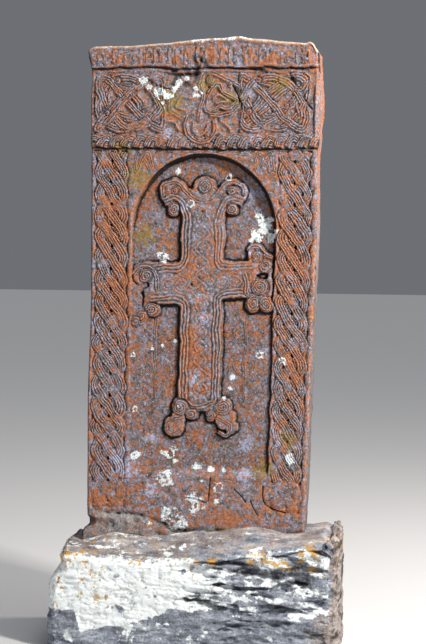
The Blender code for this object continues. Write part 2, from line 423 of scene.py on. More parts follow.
@dataclass
class Weave:
    """Ribbons that pass over and under each other by turns."""

    relief: Relief
    strand: Strand
    ground: float
    strength: float = 1.0

    def lay(self, paths: Sequence[Array]) -> None:
        """Lay every ribbon, then lay again the short stretches that pass over another.

        Args:
            paths: The ribbons' middles, as rows of points.
        """
        for path in paths:
            self.relief.lay(path, self.strand, self.ground, self.strength)
        for number, path in enumerate(paths):
            crossings = sorted(place for other in range(len(paths)) for place in self._meet(paths, number, other))
            for turn, place in enumerate(crossings):
                if (turn + number) % 2:
                    self._over(path, place)

    def _meet(self, paths: Sequence[Array], one: int, other: int) -> list[int]:
        """Where ribbon one crosses the other: indices along one.

        Args:
            paths: Every ribbon's middle.
            one: Number of the ribbon that is followed.
            other: Number of the ribbon it meets.

        Returns:
            Where they meet.
        """
        a, b = paths[one], paths[other]
        p, r = a[:-1, None], (a[1:] - a[:-1])[:, None]
        q, s = b[None, :-1], (b[1:] - b[:-1])[None]
        across = r[..., 0] * s[..., 1] - r[..., 1] * s[..., 0]
        gap = q - p
        safe = np.where(np.abs(across) < 1e-12, 1.0, across)
        t = (gap[..., 0] * s[..., 1] - gap[..., 1] * s[..., 0]) / safe
        u = (gap[..., 0] * r[..., 1] - gap[..., 1] * r[..., 0]) / safe
        hit = (np.abs(across) > 1e-12) & (t >= 0) & (t < 1) & (u >= 0) & (u < 1)
        rows, columns = np.nonzero(hit)
        if one == other:
            apart = np.abs(rows - columns) > 2
            rows = rows[apart]
        return [int(row) for row in rows]

    def _over(self, path: Array, place: int) -> None:
        """Lay again the stretch of a ribbon around one crossing.

        Args:
            path: The ribbon's middle.
            place: Index of the crossing along it.
        """
        reach = self.strand.width * 0.75 + self.strand.moat
        steps = np.linalg.norm(np.diff(path, axis=0), axis=1)
        along = np.concatenate([[0.0], np.cumsum(steps)])
        near = np.nonzero(np.abs(along - along[place]) <= reach)[0]
        if len(near) > 2:
            self.relief.lay(path[near[0] : near[-1] + 1], self.strand, self.ground, self.strength)


class Crust(Enum):
    """Kinds of lichen colony."""

    WHITE = "white"
    BLOOM = "bloom"
    YELLOW = "yellow"
    RUST = "rust"


@dataclass(frozen=True)
class Colony:
    """One round lichen colony: where its middle is, how wide it is, and whether its middle has died out."""

    x: float
    z: float
    radius: float
    kind: Crust = Crust.WHITE
    open_middle: float = 0.0
    tall: float = 1.0


@dataclass
class CarvedFace:
    """The slab's whole carved front, worked from the frame's box."""

    left: float
    right: float
    bottom: float
    top: float
    foot_low: float
    pitch: float
    # Heights below the slab's top
    band_high: float = 0.004
    band_low: float = 0.073
    cornice_high: float = 0.090
    cornice_low: float = 0.304
    rope_high: float = 0.309
    rope_low: float = 0.355
    # Niche and cross
    niche_x: float = 0.020
    niche_half: float = 0.265
    niche_apex_drop: float = 0.375
    niche_floor_rise: float = 0.152
    niche_depth: float = 0.014
    niche_slope: float = 0.020
    niche_lean: float = 0.003
    channel: float = 0.004
    cross_x: float = 0.014
    cross_drop: float = 0.832
    shaft_half: float = 0.0775
    shaft_top: float = 0.335
    shaft_foot: float = -0.455
    border_width: float = 0.122
    cornice_proud: float = 0.011
    # White lichens along the top edge: place across, and radius in millimetres
    crest: tuple[Point, ...] = (
        (-0.020, 13), (-0.004, 15), (0.014, 13), (0.034, 8), (0.056, 10), (0.074, 8), (0.092, 10),
        (0.112, 9), (0.130, 11), (0.150, 8), (0.168, 9), (0.186, 7), (0.372, 9), (0.384, 8),
    )
    seed: int = 11

    def __post_init__(self) -> None:
        """Make the empty relief and name the main heights."""
        self.relief = Relief(self.left, self.right, self.foot_low, self.top, self.pitch)
        self.noise = Unevenness(self.seed)
        self.places = self.relief.places()
        self.field_high = self.top - self.rope_low
        self.cross_z = self.top - self.cross_drop
        self.niche_low = self.bottom + self.niche_floor_rise
        self.niche_spring = self.top - self.niche_apex_drop - self.niche_half
        self.slim = Strand(mm(17), 2, mm(5.0), mm(2.0))
        self.bold = Strand(mm(34), 3, mm(5.5), mm(2.4))
        self.cross_face = -mm(0.5)
        self.dark_marks_and_painted_shadow = np.zeros_like(self.relief.height)

    def carve(self) -> None:
        """Work the stone from the broad cuts to the fine ones, then let the weather at it."""
        self.cut_levels()
        self.cut_niche()
        self.carve_borders()
        self.carve_spandrels()
        self.carve_ground_stems()
        self.raise_cross()
        self.carve_cross_lines()
        self.carve_bottom_panel()
        self.carve_rope()
        self.carve_cornice()
        self.carve_top_band()
        self.let_hand_wander()
        self.rough_foot()
        self.weather()
        self.deepen_niche_head()

    def cut_levels(self) -> None:
        """Leave the cornice and the top band standing proud of the main field."""
        z = self.relief.z[:, None]
        height = self.relief.height
        for rise, foot in ((self.cornice_proud, self.field_high), (mm(4), self.top - self.band_low)):
            height += rise * ease(z, foot - mm(2), foot + mm(2))

    def mottle(self, shift: float, size: float, count: int = 4, keep: float = 0.5) -> Array:
        """Noise over the whole relief.

        Args:
            shift: Moves the pattern, so that two of them differ.
            size: Width of its largest features, in metres.
            count: How many sizes of noise are added up, each half the last.
            keep: Strength of each size against the last.

        Returns:
            A grid of values of about -1 to 1.
        """
        return self.relief.grid(self.noise.layers(self.places + shift, size, count, keep))

    def inside_niche(self) -> Array:
        """Distance inside the niche's outline, in metres; negative outside it. Its right jamb leans in.

        Returns:
            The distance, on the relief's grid.
        """
        x = self.relief.x[None, :] - self.niche_x
        z = self.relief.z[:, None]
        lean = self.niche_lean * ease(z, self.niche_spring - 0.10, self.niche_low) * ease(x, 0.0, self.niche_half)
        round_head = self.niche_half - lean - np.hypot(x, np.maximum(z - self.niche_spring, 0.0))
        return np.minimum(round_head, 0.11 * (z - self.niche_low))

    def cut_niche(self) -> None:
        """Sink the round-headed niche; below the head its left side is worn to a gentle slope."""
        x, z = self.relief.x[None, :] - self.niche_x, self.relief.z[:, None]
        gentle = ease(x, -0.12, -self.niche_half) * ease(z, self.niche_spring + mm(45), self.niche_spring - mm(10))
        self.relief.height -= self.niche_depth * ease(self.inside_niche(), 0.0, mm(4)) * (1.0 - 0.85 * gentle)

    def deepen_niche_head(self) -> None:
        """Slope the niche and the cross in it back towards the head, where the niche is deepest."""
        head = ease(self.relief.z[:, None], self.cross_z - 0.09, self.cross_z + 0.31)
        self.relief.height -= self.niche_slope * head * ease(self.inside_niche(), -mm(1), mm(4))

    def carve_borders(self) -> None:
        """Four-strand plaits down both sides, with a drilled eye between the crossings."""
        low, high = self.bottom + 0.03, self.field_high - mm(10)
        ground = -mm(7.0)
        half = self.border_width / 2
        strand = Strand(mm(34), 4, mm(7.0), mm(2.2))
        turn = 0.304
        for middle in (self.left + half + mm(14), self.right - half - mm(19)):
            self.relief.sink_box(middle - half, middle + half, low, high, ground, mm(3))
            z = np.arange(low + mm(4), high - mm(4), mm(5))
            swing = half - strand.width / 2 + mm(2)
            strands = []
            for number in range(4):
                phase = 2 * math.pi * ((z - high) / turn + number / 4)
                x = middle + swing * 1.02 * np.arcsin(0.96 * np.sin(phase)) / math.asin(0.96)
                strands.append(np.stack([x, z], axis=1))
            self._plait(strands, strand, ground)
            for step in range(int((high - low) / (turn / 4))):
                eye = mm(5.5 + 1.8 * math.sin(3.7 * step))
                self.relief.drill(middle, high - turn / 8 - step * turn / 4 + mm(4), eye, mm(10))

    def _plait(self, paths: list[Array], strand: Strand, ground: float) -> None:
        """Lay a plait whose falling strands lie over the rising ones.

        Args:
            paths: The strands' middles.
            strand: The strands' make.
            ground: Height of the sunk ground.
        """
        for rising in (True, False):
            for path in paths:
                climbs = np.gradient(path[:, 0]) * np.gradient(path[:, 1]) > 0
                self._lay_runs(path, climbs, rising, strand, ground)

    def _lay_runs(self, path: Array, flags: Array, wanted: bool, strand: Strand, ground: float) -> None:
        """Lay the stretches of a path where the flag has the wanted value.

        Args:
            path: The strand's middle.
            flags: One flag a point.
            wanted: Value of the flag to lay.
            strand: The strand's make.
            ground: Height of the sunk ground.
        """
        run: list[int] = []
        for index in range(len(path) + 1):
            if index < len(path) and bool(flags[index]) is wanted:
                run.append(index)
            elif run:
                if len(run) > 2:
                    first, last = max(run[0] - 1, 0), min(run[-1] + 2, len(path))
                    self.relief.lay(path[first:last], strand, ground)
                run = []

    def carve_spandrels(self) -> None:
        """A small worn knot in each corner over the arch, and a rim of two cords along the cornice's foot."""
        strand = Strand(mm(15), 2, mm(3.4), mm(1.6))
        weave = Weave(self.relief, strand, -mm(2.6), 0.8)
        z = self.field_high - 0.050
        for side in (-1, 1):
            middle = self.niche_x + side * 0.222
            turn = np.linspace(0, 2 * math.pi, 120)
            path = np.stack([middle + 0.030 * np.sin(turn), z + 0.034 * np.sin(2 * turn + 0.5)], axis=1)
            weave.lay([path])
            rim = [(middle - side * 0.050, z + 0.030), (middle - side * 0.100, z + 0.033), (self.niche_x, z + 0.034)]
            self.relief.lay(smooth_path(rim, mm(6)), strand, -mm(2.6), 0.7)

    def carve_ground_stems(self) -> None:
        """Slender worn stems with small curls, standing on the niche's floor on each side of the shaft."""
        strand = Strand(mm(13), 2, mm(3.4), mm(1.8))
        ground = -self.niche_depth
        curl = ((0.0, -0.030), (0.022, -0.012), (0.038, 0.012), (0.030, 0.030), (0.018, 0.022))
        for side, x in ((-1, -0.152), (1, 0.180)):
            base, head = self.cross_z - 0.44, self.cross_z - 0.13
            self.relief.lay(smooth_path([(x, base), (x + side * mm(3), head)], mm(8)), strand, ground, 0.8)
            for level in (0.30, 0.19, 0.40):
                for way in (-1, 1):
                    placed = [(x + way * across, self.cross_z - level + up) for across, up in curl]
                    self.relief.lay(smooth_path(placed, mm(4)), strand, ground, 0.6)

    def cross_shapes(self) -> Array:
        """Distance inside the cross's outline, with its scrolled and leaved ends; negative outside it.

        Returns:
            The distance, on the relief's grid.
        """
        x = self.relief.x[None, :] - self.cross_x
        z = self.relief.z[:, None] - self.cross_z
        shaft = np.minimum(self.shaft_half - np.abs(x), np.minimum(self.shaft_top - z, z - self.shaft_foot))
        arms = np.minimum(np.minimum(self.arm_top(x) - z, z - self.arm_foot(x)), np.minimum(0.262 - x, x + 0.212))
        shape = np.maximum(shaft, arms)
        for rounds, added in ((self.cross_lobes(), True), (self.cross_notches(), False)):
            for cx, cz, radius, tall in rounds:
                inside = (1.0 - np.hypot((x - cx) / radius, (z - cz) / (radius * tall))) * radius
                shape = np.maximum(shape, inside) if added else np.minimum(shape, -inside)
        return shape

    def arm_top(self, x: Array | float) -> Array:
        """Height of the arms' upper edge over the cross's centre: it climbs to the right."""
        return 0.072 + 0.05 * np.maximum(x, 0.0)

    def arm_foot(self, x: Array | float) -> Array:
        """Height of the arms' lower edge over the cross's centre: the whole edge climbs to the right."""
        return -0.064 + 0.0875 * np.asarray(x)

    def cross_lobes(self) -> list[tuple[float, float, float, float]]:
        """Rounded ends of the cross: middle, radius and height against width, from the cross's centre.

        Returns:
            Across, up, radius, and height against width.
        """
        return [
            # upper end
            (-0.108, 0.322, 0.054, 0.89), (-0.078, 0.285, 0.032, 1.0), (-0.110, 0.262, 0.026, 1.0),
            (0.112, 0.318, 0.050, 0.92), (0.080, 0.285, 0.032, 1.0), (0.104, 0.262, 0.024, 1.0),
            (0.006, 0.338, 0.042, 0.9),
            # left arm
            (-0.212, 0.034, 0.041, 0.92), (-0.184, -0.097, 0.029, 1.0), (-0.218, -0.120, 0.025, 1.0),
            (-0.244, -0.138, 0.021, 0.9),
            # right arm
            (0.200, 0.104, 0.034, 1.0), (0.236, 0.066, 0.028, 1.0), (0.214, -0.010, 0.040, 1.0),
            (0.193, -0.069, 0.030, 1.0), (0.241, -0.069, 0.030, 1.0),
            # foot
            (-0.068, -0.440, 0.034, 1.0), (-0.026, -0.464, 0.024, 1.0), (-0.096, -0.512, 0.037, 1.0),
            (-0.076, -0.478, 0.026, 1.0), (0.086, -0.436, 0.033, 1.0), (0.046, -0.470, 0.024, 1.0),
            (0.102, -0.484, 0.036, 0.95), (0.126, -0.512, 0.024, 0.85),
        ]

    def cross_notches(self) -> list[tuple[float, float, float, float]]:
        """Hollows that part the rounded ends from each other.

        Returns:
            Across, up, radius, and height against width.
        """
        return [
            (0.010, -0.478, 0.016, 1.6), (-0.042, 0.362, 0.010, 3.0), (0.055, 0.366, 0.011, 2.2),
            (0.227, 0.028, 0.022, 0.5), (-0.212, -0.010, 0.024, 0.42), (-0.246, -0.050, 0.030, 1.25),
            (-0.168, 0.262, 0.030, 1.2), (-0.040, -0.505, 0.018, 0.7),
        ]

    def raise_cross(self) -> None:
        """Leave the cross standing in the sunk niche, with steep sides."""
        chipped = self.mottle(141.0, 0.028, 3, 0.6)
        inside = self.cross_shapes() + mm(3.5) * chipped
        share = ease(inside, -mm(2.0), mm(1.5))
        niche = ease(self.inside_niche(), mm(-2), mm(2))
        x, z = self.relief.x[None, :] - self.cross_x, self.relief.z[:, None] - self.cross_z
        crown_worn = 0.55 * ease(x, -0.02, 0.06) * ease(z, 0.225, 0.29)
        raised = share * np.maximum(niche, 0.0) * (1.0 - crown_worn)
        beside = ease(inside, -mm(15), -mm(4)) * (1.0 - share) * ease(self.inside_niche(), mm(1), mm(4))
        self.relief.height -= self.channel * beside
        self.relief.height += raised * (self.cross_face - self.relief.height)
        self.cross_share = raised

    def cross_line(self, points: Sequence[Point], strand: Strand, strength: float = 1.0) -> None:
        """Carve a line of cords on the cross, from points given around the cross's centre."""
        placed = [(self.cross_x + x, self.cross_z + z) for x, z in points]
        self.relief.lay(smooth_path(placed, mm(4)), strand, self.cross_face - mm(3.6), strength)

    def carve_cross_lines(self) -> None:
        """Triple cords along the cross's edges, turning through its corners into spirals at the ends."""
        inset = self.bold.width / 2
        edge = self.shaft_half - inset
        thin = Strand(mm(18), 2, mm(5.0), mm(1.8))
        narrow = Strand(mm(15), 2, mm(4.6), mm(1.5))
        self._shaft_lattice()
        for side in (-1, 1):
            shelf = float(self.arm_top(side * 0.12)) - inset
            floor = float(self.arm_foot(side * 0.12)) + inset
            worn = 1.0 if side < 0 else 0.75
            upper = [
                (0.186, shelf + 0.010 * side), (0.130, shelf), (edge + 0.030, shelf), (edge + 0.008, shelf + 0.010),
                (edge, shelf + 0.034), (edge, 0.16), (edge, 0.23), (edge + 0.012, 0.272), (edge + 0.046, 0.300),
                (edge + 0.086, 0.288),
            ]
            lower = [
                (edge - 0.012, -0.432), (edge, -0.39), (edge, -0.22), (edge, floor - 0.034),
                (edge + 0.008, floor - 0.010), (edge + 0.030, floor), (0.150, floor + 0.003 * side),
                (0.190, floor - 0.004),
            ]
            crown = [
                (0.150, 0.312), (0.146, 0.346), (0.112, 0.360), (0.080, 0.350), (0.056, 0.318), (0.030, 0.296),
                (0.0, 0.288),
            ]
            leaf = [(0.060, -0.478), (0.092, -0.484), (0.122, -0.508), (0.104, -0.538), (0.074, -0.524)]
            lines = ((upper, self.bold, worn), (lower, self.bold, 1.0), (crown, thin, worn), (leaf, narrow, 1.0))
            for line, strand, strength in lines:
                self.cross_line([(side * x, z) for x, z in line], strand, strength)
        ties = (
            [(-0.050, -0.418), (-0.022, -0.438), (0.018, -0.438), (0.050, -0.418)],
            [(-0.252, 0.030), (-0.226, 0.056), (-0.190, 0.050), (-0.166, 0.022), (-0.160, -0.030)],
            [(0.166, 0.118), (0.180, 0.132), (0.206, 0.130), (0.232, 0.108), (0.262, 0.092)],
            [(0.156, 0.040), (0.168, 0.004), (0.166, -0.030), (0.186, -0.052), (0.226, -0.050)],
        )
        for line in ties:
            self.cross_line(line, thin)
        for x, z, radius in self.cross_bosses():
            middle = self.cross_x + x, self.cross_z + z
            self.relief.boss(*middle, radius, mm(6.4), self.cross_face - mm(4.8), mm(8.5))
        for x, z in ((-0.004, 0.254), (-0.218, -0.037), (-0.036, -0.005)):
            self.relief.drill(self.cross_x + x, self.cross_z + z, mm(6), mm(8))

    def _shaft_lattice(self) -> None:
        """A shallow, half-worn plait of thin cords up the middle of the shaft and along the arms."""
        strand = Strand(mm(13), 1, mm(3.2), mm(1.8))
        weave = Weave(self.relief, strand, self.cross_face - mm(3.6), 0.7)
        along = np.arange(-0.400, 0.250, mm(5))
        paths = []
        for shift in (0.0, math.pi):
            swing = 0.024 * np.sin(2 * math.pi * along / 0.100 + shift)
            paths.append(np.stack([self.cross_x + swing, self.cross_z + along], axis=1))
        for shift in (0.0, math.pi):
            reach = np.arange(-0.150, 0.155, mm(5))
            swing = 0.020 * np.sin(2 * math.pi * reach / 0.100 + shift)
            paths.append(np.stack([self.cross_x + reach, self.cross_z + 0.06 * reach + swing], axis=1))
        weave.lay(paths)

    def cross_bosses(self) -> list[tuple[float, float, float]]:
        """Snail-wound bosses at the cross's ends: middle and radius, from the cross's centre.

        Returns:
            Across, up and radius.
        """
        return [
            (-0.108, 0.264, 0.023), (-0.104, 0.328, 0.015), (0.104, 0.264, 0.021), (0.104, 0.326, 0.015),
            (0.008, 0.340, 0.026), (-0.208, 0.024, 0.024), (-0.184, -0.097, 0.027), (-0.220, -0.120, 0.021),
            (-0.245, -0.139, 0.018), (0.202, 0.100, 0.022), (0.236, 0.064, 0.024), (0.216, -0.010, 0.032),
            (0.193, -0.070, 0.027), (0.241, -0.070, 0.027), (-0.068, -0.442, 0.030), (-0.028, -0.465, 0.021),
            (0.086, -0.436, 0.030), (0.045, -0.471, 0.020),
        ]

    def carve_bottom_panel(self) -> None:
        """Three almost worn-away square frames with rosettes, under the niche."""
        high = self.niche_low - mm(14)
        low = self.bottom + mm(14)
        strand = Strand(mm(13), 2, mm(3.0), mm(2.0))
        middle_z = (low + high) / 2
        square = ((-1, -1), (1, -1), (1, 1), (-1, 1), (-1, -1))
        for middle, half in ((-0.195, 0.085), (0.050, 0.092), (0.318, 0.074)):
            reach = (high - low) / 2 - mm(8)
            corners = [(middle + a * half, middle_z + b * reach) for a, b in square]
            self.relief.lay(np.array(corners), strand, -mm(2.4), 0.7)
            turn = np.linspace(0, 2 * math.pi, 160)
            petals = reach * (0.52 + 0.24 * np.cos(4 * turn))
            rosette = np.stack([middle + petals * np.cos(turn), middle_z + petals * np.sin(turn)], axis=1)
            self.relief.lay(rosette, strand, -mm(2.4), 0.55)
            self.relief.boss(middle, middle_z, mm(13), mm(3), -mm(2), mm(7))
        z, sill = self.relief.z[:, None], self.niche_low
        ledge = ease(z, sill - mm(13), sill - mm(9)) * ease(z, sill + mm(3), sill)
        self.relief.height += mm(2.0) * ledge

    def carve_cornice(self) -> None:
        """The interlaced panel: a leafed middle between two wide tangles of triple cords."""
        proud = self.cornice_proud
        ground = proud - mm(6.5)
        low, high = self.top - self.cornice_low, self.top - self.cornice_high
        self.relief.sink_box(self.left + mm(6), self.right - mm(8), low - mm(3), high, ground, mm(3))
        middle_x, middle_z = self.niche_x - mm(8), (low + high) / 2
        weave = Weave(self.relief, Strand(mm(27), 3, mm(6.8), mm(1.8)), ground)
        turn = np.linspace(0, 2 * math.pi, 480)
        knobs = ((-0.052, 0.078, 11), (0.048, -0.012, 11), (0.100, 0.050, 9), (-0.090, -0.030, 10))
        for side, lean in ((-1, 0.35), (1, -0.95)):
            x = middle_x + side * 0.258
            tangle_x = x + 0.124 * np.sin(3 * turn + 0.10 + 0.25 * np.sin(turn))
            tangle_z = middle_z + 0.090 * np.sin(4 * turn + lean + 0.30 * np.cos(turn))
            loop_x = x + side * 0.030 + 0.066 * np.sin(turn)
            loop_z = middle_z + 0.052 * np.cos(turn + lean)
            round_x = x + 0.112 * np.sin(turn) * (1.0 + 0.16 * np.cos(4 * turn + math.pi))
            round_z = middle_z + 0.082 * np.cos(turn) * (1.0 + 0.16 * np.cos(4 * turn + math.pi))
            paths = ((round_x, round_z), (loop_x, loop_z), (tangle_x, tangle_z))
            weave.lay([np.stack(path, axis=1) for path in paths])
            for across, up, radius in knobs:
                self.relief.boss(x + across, middle_z + up, mm(radius), mm(8), ground, mm(6))
        self._cornice_middle(middle_x, middle_z, ground)

    def _cornice_middle(self, x: float, z: float, ground: float) -> None:
        """The leafed middle of the cornice: two round leaves, a stem, a ringed boss and a heart-shaped bowl.

        Args:
            x: Its middle across.
            z: Height of its middle.
            ground: Height of the sunk ground.
        """
        box = (x - 0.135, x + 0.135, z - 0.108, z + 0.104)
        self.relief.sink_box(*box, ground, mm(3))
        place = self.relief.window(*box)
        self.relief.lined[place] = 0.0
        pair = Strand(mm(17), 2, mm(6.5), mm(2.2))
        thin = Strand(mm(12), 1, mm(6.5), mm(1.8))
        lines = [
            (pair, 1.0, [(0.012, 0.010), (0.034, 0.050), (0.060, 0.062), (0.082, 0.036), (0.126, 0.006),
                         (0.086, -0.022), (0.060, -0.016), (0.040, -0.030), (0.018, -0.020), (0.012, 0.010)]),
            (thin, 0.9, [(0.036, 0.012), (0.054, 0.026), (0.076, 0.020), (0.092, 0.006), (0.066, 0.000),
                         (0.046, -0.004)]),
            (pair, 1.0, [(0.030, -0.040), (0.066, -0.046), (0.104, -0.034), (0.134, -0.014)]),
            (pair, 0.9, [(0.012, 0.084), (0.030, 0.104), (0.070, 0.088), (0.134, 0.060)]),
            (pair, 0.45, [(-0.020, 0.046), (-0.066, 0.050), (-0.112, 0.014), (-0.116, -0.024), (-0.070, -0.052),
                          (-0.024, -0.034)]),
            (thin, 0.5, [(-0.036, 0.010), (-0.076, 0.020), (-0.096, -0.012), (-0.060, -0.024)]),
            (pair, 0.5, [(-0.134, 0.060), (-0.096, 0.086), (-0.040, 0.078)]),
            (self.slim, 0.9, [(-0.012, -0.062), (-0.006, -0.030), (0.000, 0.020), (-0.008, 0.062), (0.006, 0.100)]),
            (pair, 1.0, [(-0.050, -0.046), (-0.060, -0.086), (-0.040, -0.122), (-0.006, -0.138), (0.030, -0.128),
                         (0.052, -0.096), (0.044, -0.058)]),
            (thin, 0.8, [(-0.030, -0.066), (-0.034, -0.094), (-0.014, -0.112), (0.010, -0.100), (0.022, -0.072)]),
            (thin, 0.8, [(0.062, -0.062), (0.090, -0.078), (0.104, -0.104)]),
            (thin, 0.8, [(-0.134, -0.060), (-0.100, -0.070), (-0.078, -0.098)]),
        ]
        for strand, strength, line in lines:
            self.relief.lay(smooth_path([(x + a, z + b) for a, b in line], mm(3)), strand, ground, strength)
        for a, b, radius in ((0.026, 0.078, 15), (0.104, 0.062, 9), (0.020, -0.112, 11), (-0.128, 0.010, 9)):
            self.relief.boss(x + a, z + b, mm(radius), mm(8.0), ground, mm(6.5))

    def carve_rope(self) -> None:
        """The roll of leaning S cords under the cornice, with a boss at its middle."""
        low, high = self.field_high, self.top - self.rope_high
        middle = (low + high) / 2
        proud = self.cornice_proud + mm(2)
        z = self.relief.z[:, None]
        edge = mm(2)
        roll = ease(z, low - edge, low + edge) * ease(z, high + edge, high - edge)
        ground = proud - mm(6.5)
        self.relief.height += roll * (ground - self.relief.height)
        under = ease(z, low - mm(8), low - mm(3)) * ease(z, low + mm(1), low - mm(2))
        self.relief.height -= mm(3) * under
        unit = 0.0430
        strand = Strand(mm(23), 3, mm(8.0), mm(2.4))
        curve = ((-0.026, -0.018), (-0.017, 0.0), (-0.002, 0.012), (0.016, 0.004), (0.030, -0.010), (0.046, -0.014))
        for number in range(int((self.right - self.left) / unit) + 1):
            x = self.left + (number + 0.3) * unit
            placed = [(x + across, middle + up) for across, up in curve]
            self.relief.lay(smooth_path(placed, mm(3)), strand, ground)

    def carve_top_band(self) -> None:
        """Low worn blocks under little arches along the top."""
        low, high = self.top - self.band_low, self.top - self.band_high
        gap_low, gap_high = self.top - self.cornice_high, low
        proud = self.cornice_proud + mm(4)
        self.relief.sink_box(self.left - mm(9), self.right + mm(9), gap_low + mm(5), gap_high, proud - mm(12), mm(4))
        wander = self.noise.layers(np.stack([self.relief.x, self.relief.x * 0, self.relief.x * 0], axis=1), 0.08, 3)
        # Painted shade in a dark, wavy line along the groove under the band, and painted shadow in one along the foot
        # of the rope.
        for middle, half in (((gap_low + gap_high) / 2 + mm(3), mm(8)), (self.field_high - mm(2), mm(6))):
            away = np.abs(self.relief.z[:, None] - middle - mm(5) * wander[None, :])
            dark = ease(away, half * (0.8 + 0.9 * wander[None, :]), half * 0.2)
            self.dark_marks_and_painted_shadow = np.maximum(self.dark_marks_and_painted_shadow, dark * np.clip(0.45 + 0.9 * wander[None, :], 0.0, 1.0))
        x, z = self.relief.x[None, :], self.relief.z[:, None]
        inside_band = ease(z, low + mm(7), low + mm(10)) * ease(z, high - mm(6), high - mm(9))
        draw = np.random.default_rng(self.seed)
        edges = [self.left + mm(10)]
        while edges[-1] < self.right - mm(30):
            edges.append(edges[-1] + mm(float(draw.uniform(19, 34))))
        ground = proud - mm(6)
        self.relief.height += inside_band * (ground - self.relief.height)
        cord = Strand(mm(11), 1, mm(6.5), mm(1.8))
        for start, end in zip(edges[:-1], edges[1:]):
            inner, outer, middle = start + mm(4), end - mm(3), (start + end) / 2
            head = high - mm(float(draw.uniform(12, 24)))
            foot = low + mm(float(draw.uniform(9, 14)))
            arch = [(inner, foot), (inner, head - mm(8)), (middle, head), (outer, head - mm(8)), (outer, foot)]
            self.relief.lay(smooth_path(arch, mm(3)), cord, ground, float(draw.uniform(0.6, 1.0)))
            sill = foot + mm(float(draw.uniform(12, 24)))
            self.relief.lay(smooth_path([(inner + mm(3), sill), (outer - mm(3), sill)], mm(3)), cord, ground, 0.8)

    def let_hand_wander(self) -> None:
        """Shift the carving a few millimetres here and there, as lines cut by hand and eye wander."""
        relief = self.relief
        rows, columns = relief.height.shape
        over, up = (self.mottle(shift, 0.060, 3) for shift in (121.0, 127.0))
        reach = mm(6.5) / relief.pitch
        row = np.clip(np.rint(np.arange(rows)[:, None] + reach * up), 0, rows - 1).astype(int)
        column = np.clip(np.rint(np.arange(columns)[None, :] + reach * over), 0, columns - 1).astype(int)
        for name in ("height", "lined", "cord"):
            setattr(relief, name, getattr(relief, name)[row, column])
        self.cross_share = self.cross_share[row, column]

    def rough_foot(self) -> None:
        """The undressed foot under the carving: lumpy, and broken back at its left corner."""
        x, z = self.relief.x[None, :], self.relief.z[:, None]
        line = self.bottom + mm(20) * ease(x, -0.14, -0.24) - mm(34) * ease(x, -0.20, -0.02) + mm(4) * np.sin(x * 31.0)
        below = ease(z, line + mm(3), line - mm(7))
        lumps = self.mottle(0.0, 0.075, 5, 0.55)
        left_lump = np.exp(-(((x + 0.295) / 0.11) ** 2)) * ease(z, line + mm(2), line - mm(26))
        craggy = self.mottle(13.0, 0.026, 4, 0.65)
        rough = mm(-9) + mm(14) * lumps + mm(16) * left_lump + mm(8) * craggy
        self.relief.height += below * (rough - self.relief.height)
        self.undressed = below
        # A dark patch at the foot's left corner.
        hole = np.hypot(x - self.left - mm(6), z - self.bottom + mm(18)) + mm(8) * craggy
        self.dark_marks_and_painted_shadow = np.maximum(self.dark_marks_and_painted_shadow, ease(hole, mm(30), mm(14)))

    def weather(self) -> None:
        """Soften, chip and pit the carving, most where rain and frost have reached it."""
        relief = self.relief
        cell = relief.pitch
        x, z = relief.x[None, :], relief.z[:, None]
        patchy = self.mottle(0.0, 0.13, 4)
        worn = 0.05 + 0.50 * ease(patchy, 0.15, 0.8)
        below_niche = ease(z, self.niche_low + mm(10), self.niche_low - mm(30))
        worn = np.maximum(worn, 0.70 * below_niche)
        rubbed = self.mottle(71.0, 0.055, 3)
        beside = ease(self.inside_niche(), mm(2), -mm(4)) * ease(z, self.field_high, self.field_high - mm(9))
        worn = np.maximum(worn, 0.80 * beside * ease(rubbed, -0.05, 0.55))
        cornice = ease(z, self.field_high, self.field_high + mm(9))
        worn = np.maximum(worn, 0.62 * cornice * ease(rubbed, 0.10, 0.6))
        worn = np.maximum(worn, 0.45 * ease(z, self.top - self.band_low - mm(8), self.top - self.band_low + mm(4)))
        soft = blur(relief.height, mm(3.4) / cell)
        crisp = blur(relief.height, mm(0.5) / cell)
        relief.height = crisp + worn * (soft - crisp)
        relief.lined *= np.clip(1.10 - 1.25 * worn, 0.0, 1.0)
        self._break_corners(x, z)
        dressed = 1.0 - self.undressed
        grain = self.mottle(0.0, 0.022, 4, 0.6)
        mottled = self.mottle(5.0, 0.011, 3, 0.6)
        ground_share = ease(self.inside_niche(), 0, mm(4)) * (1 - self.cross_share)
        relief.height += mm(0.6) * grain + mm(0.4) * mottled
        relief.height += mm(1.4) * mottled * np.maximum(ground_share, worn * dressed * 0.7)
        pits = self.mottle(9.0, 0.009, 2, 0.6)
        relief.height -= mm(3.0) * ease(pits, 0.62, 0.95)
        chips = self.mottle(3.0, 0.034, 3, 0.55)
        chipped = ease(chips, 0.66, 0.95) * dressed
        relief.height -= mm(4.0) * chipped
        relief.lined *= 1.0 - chipped

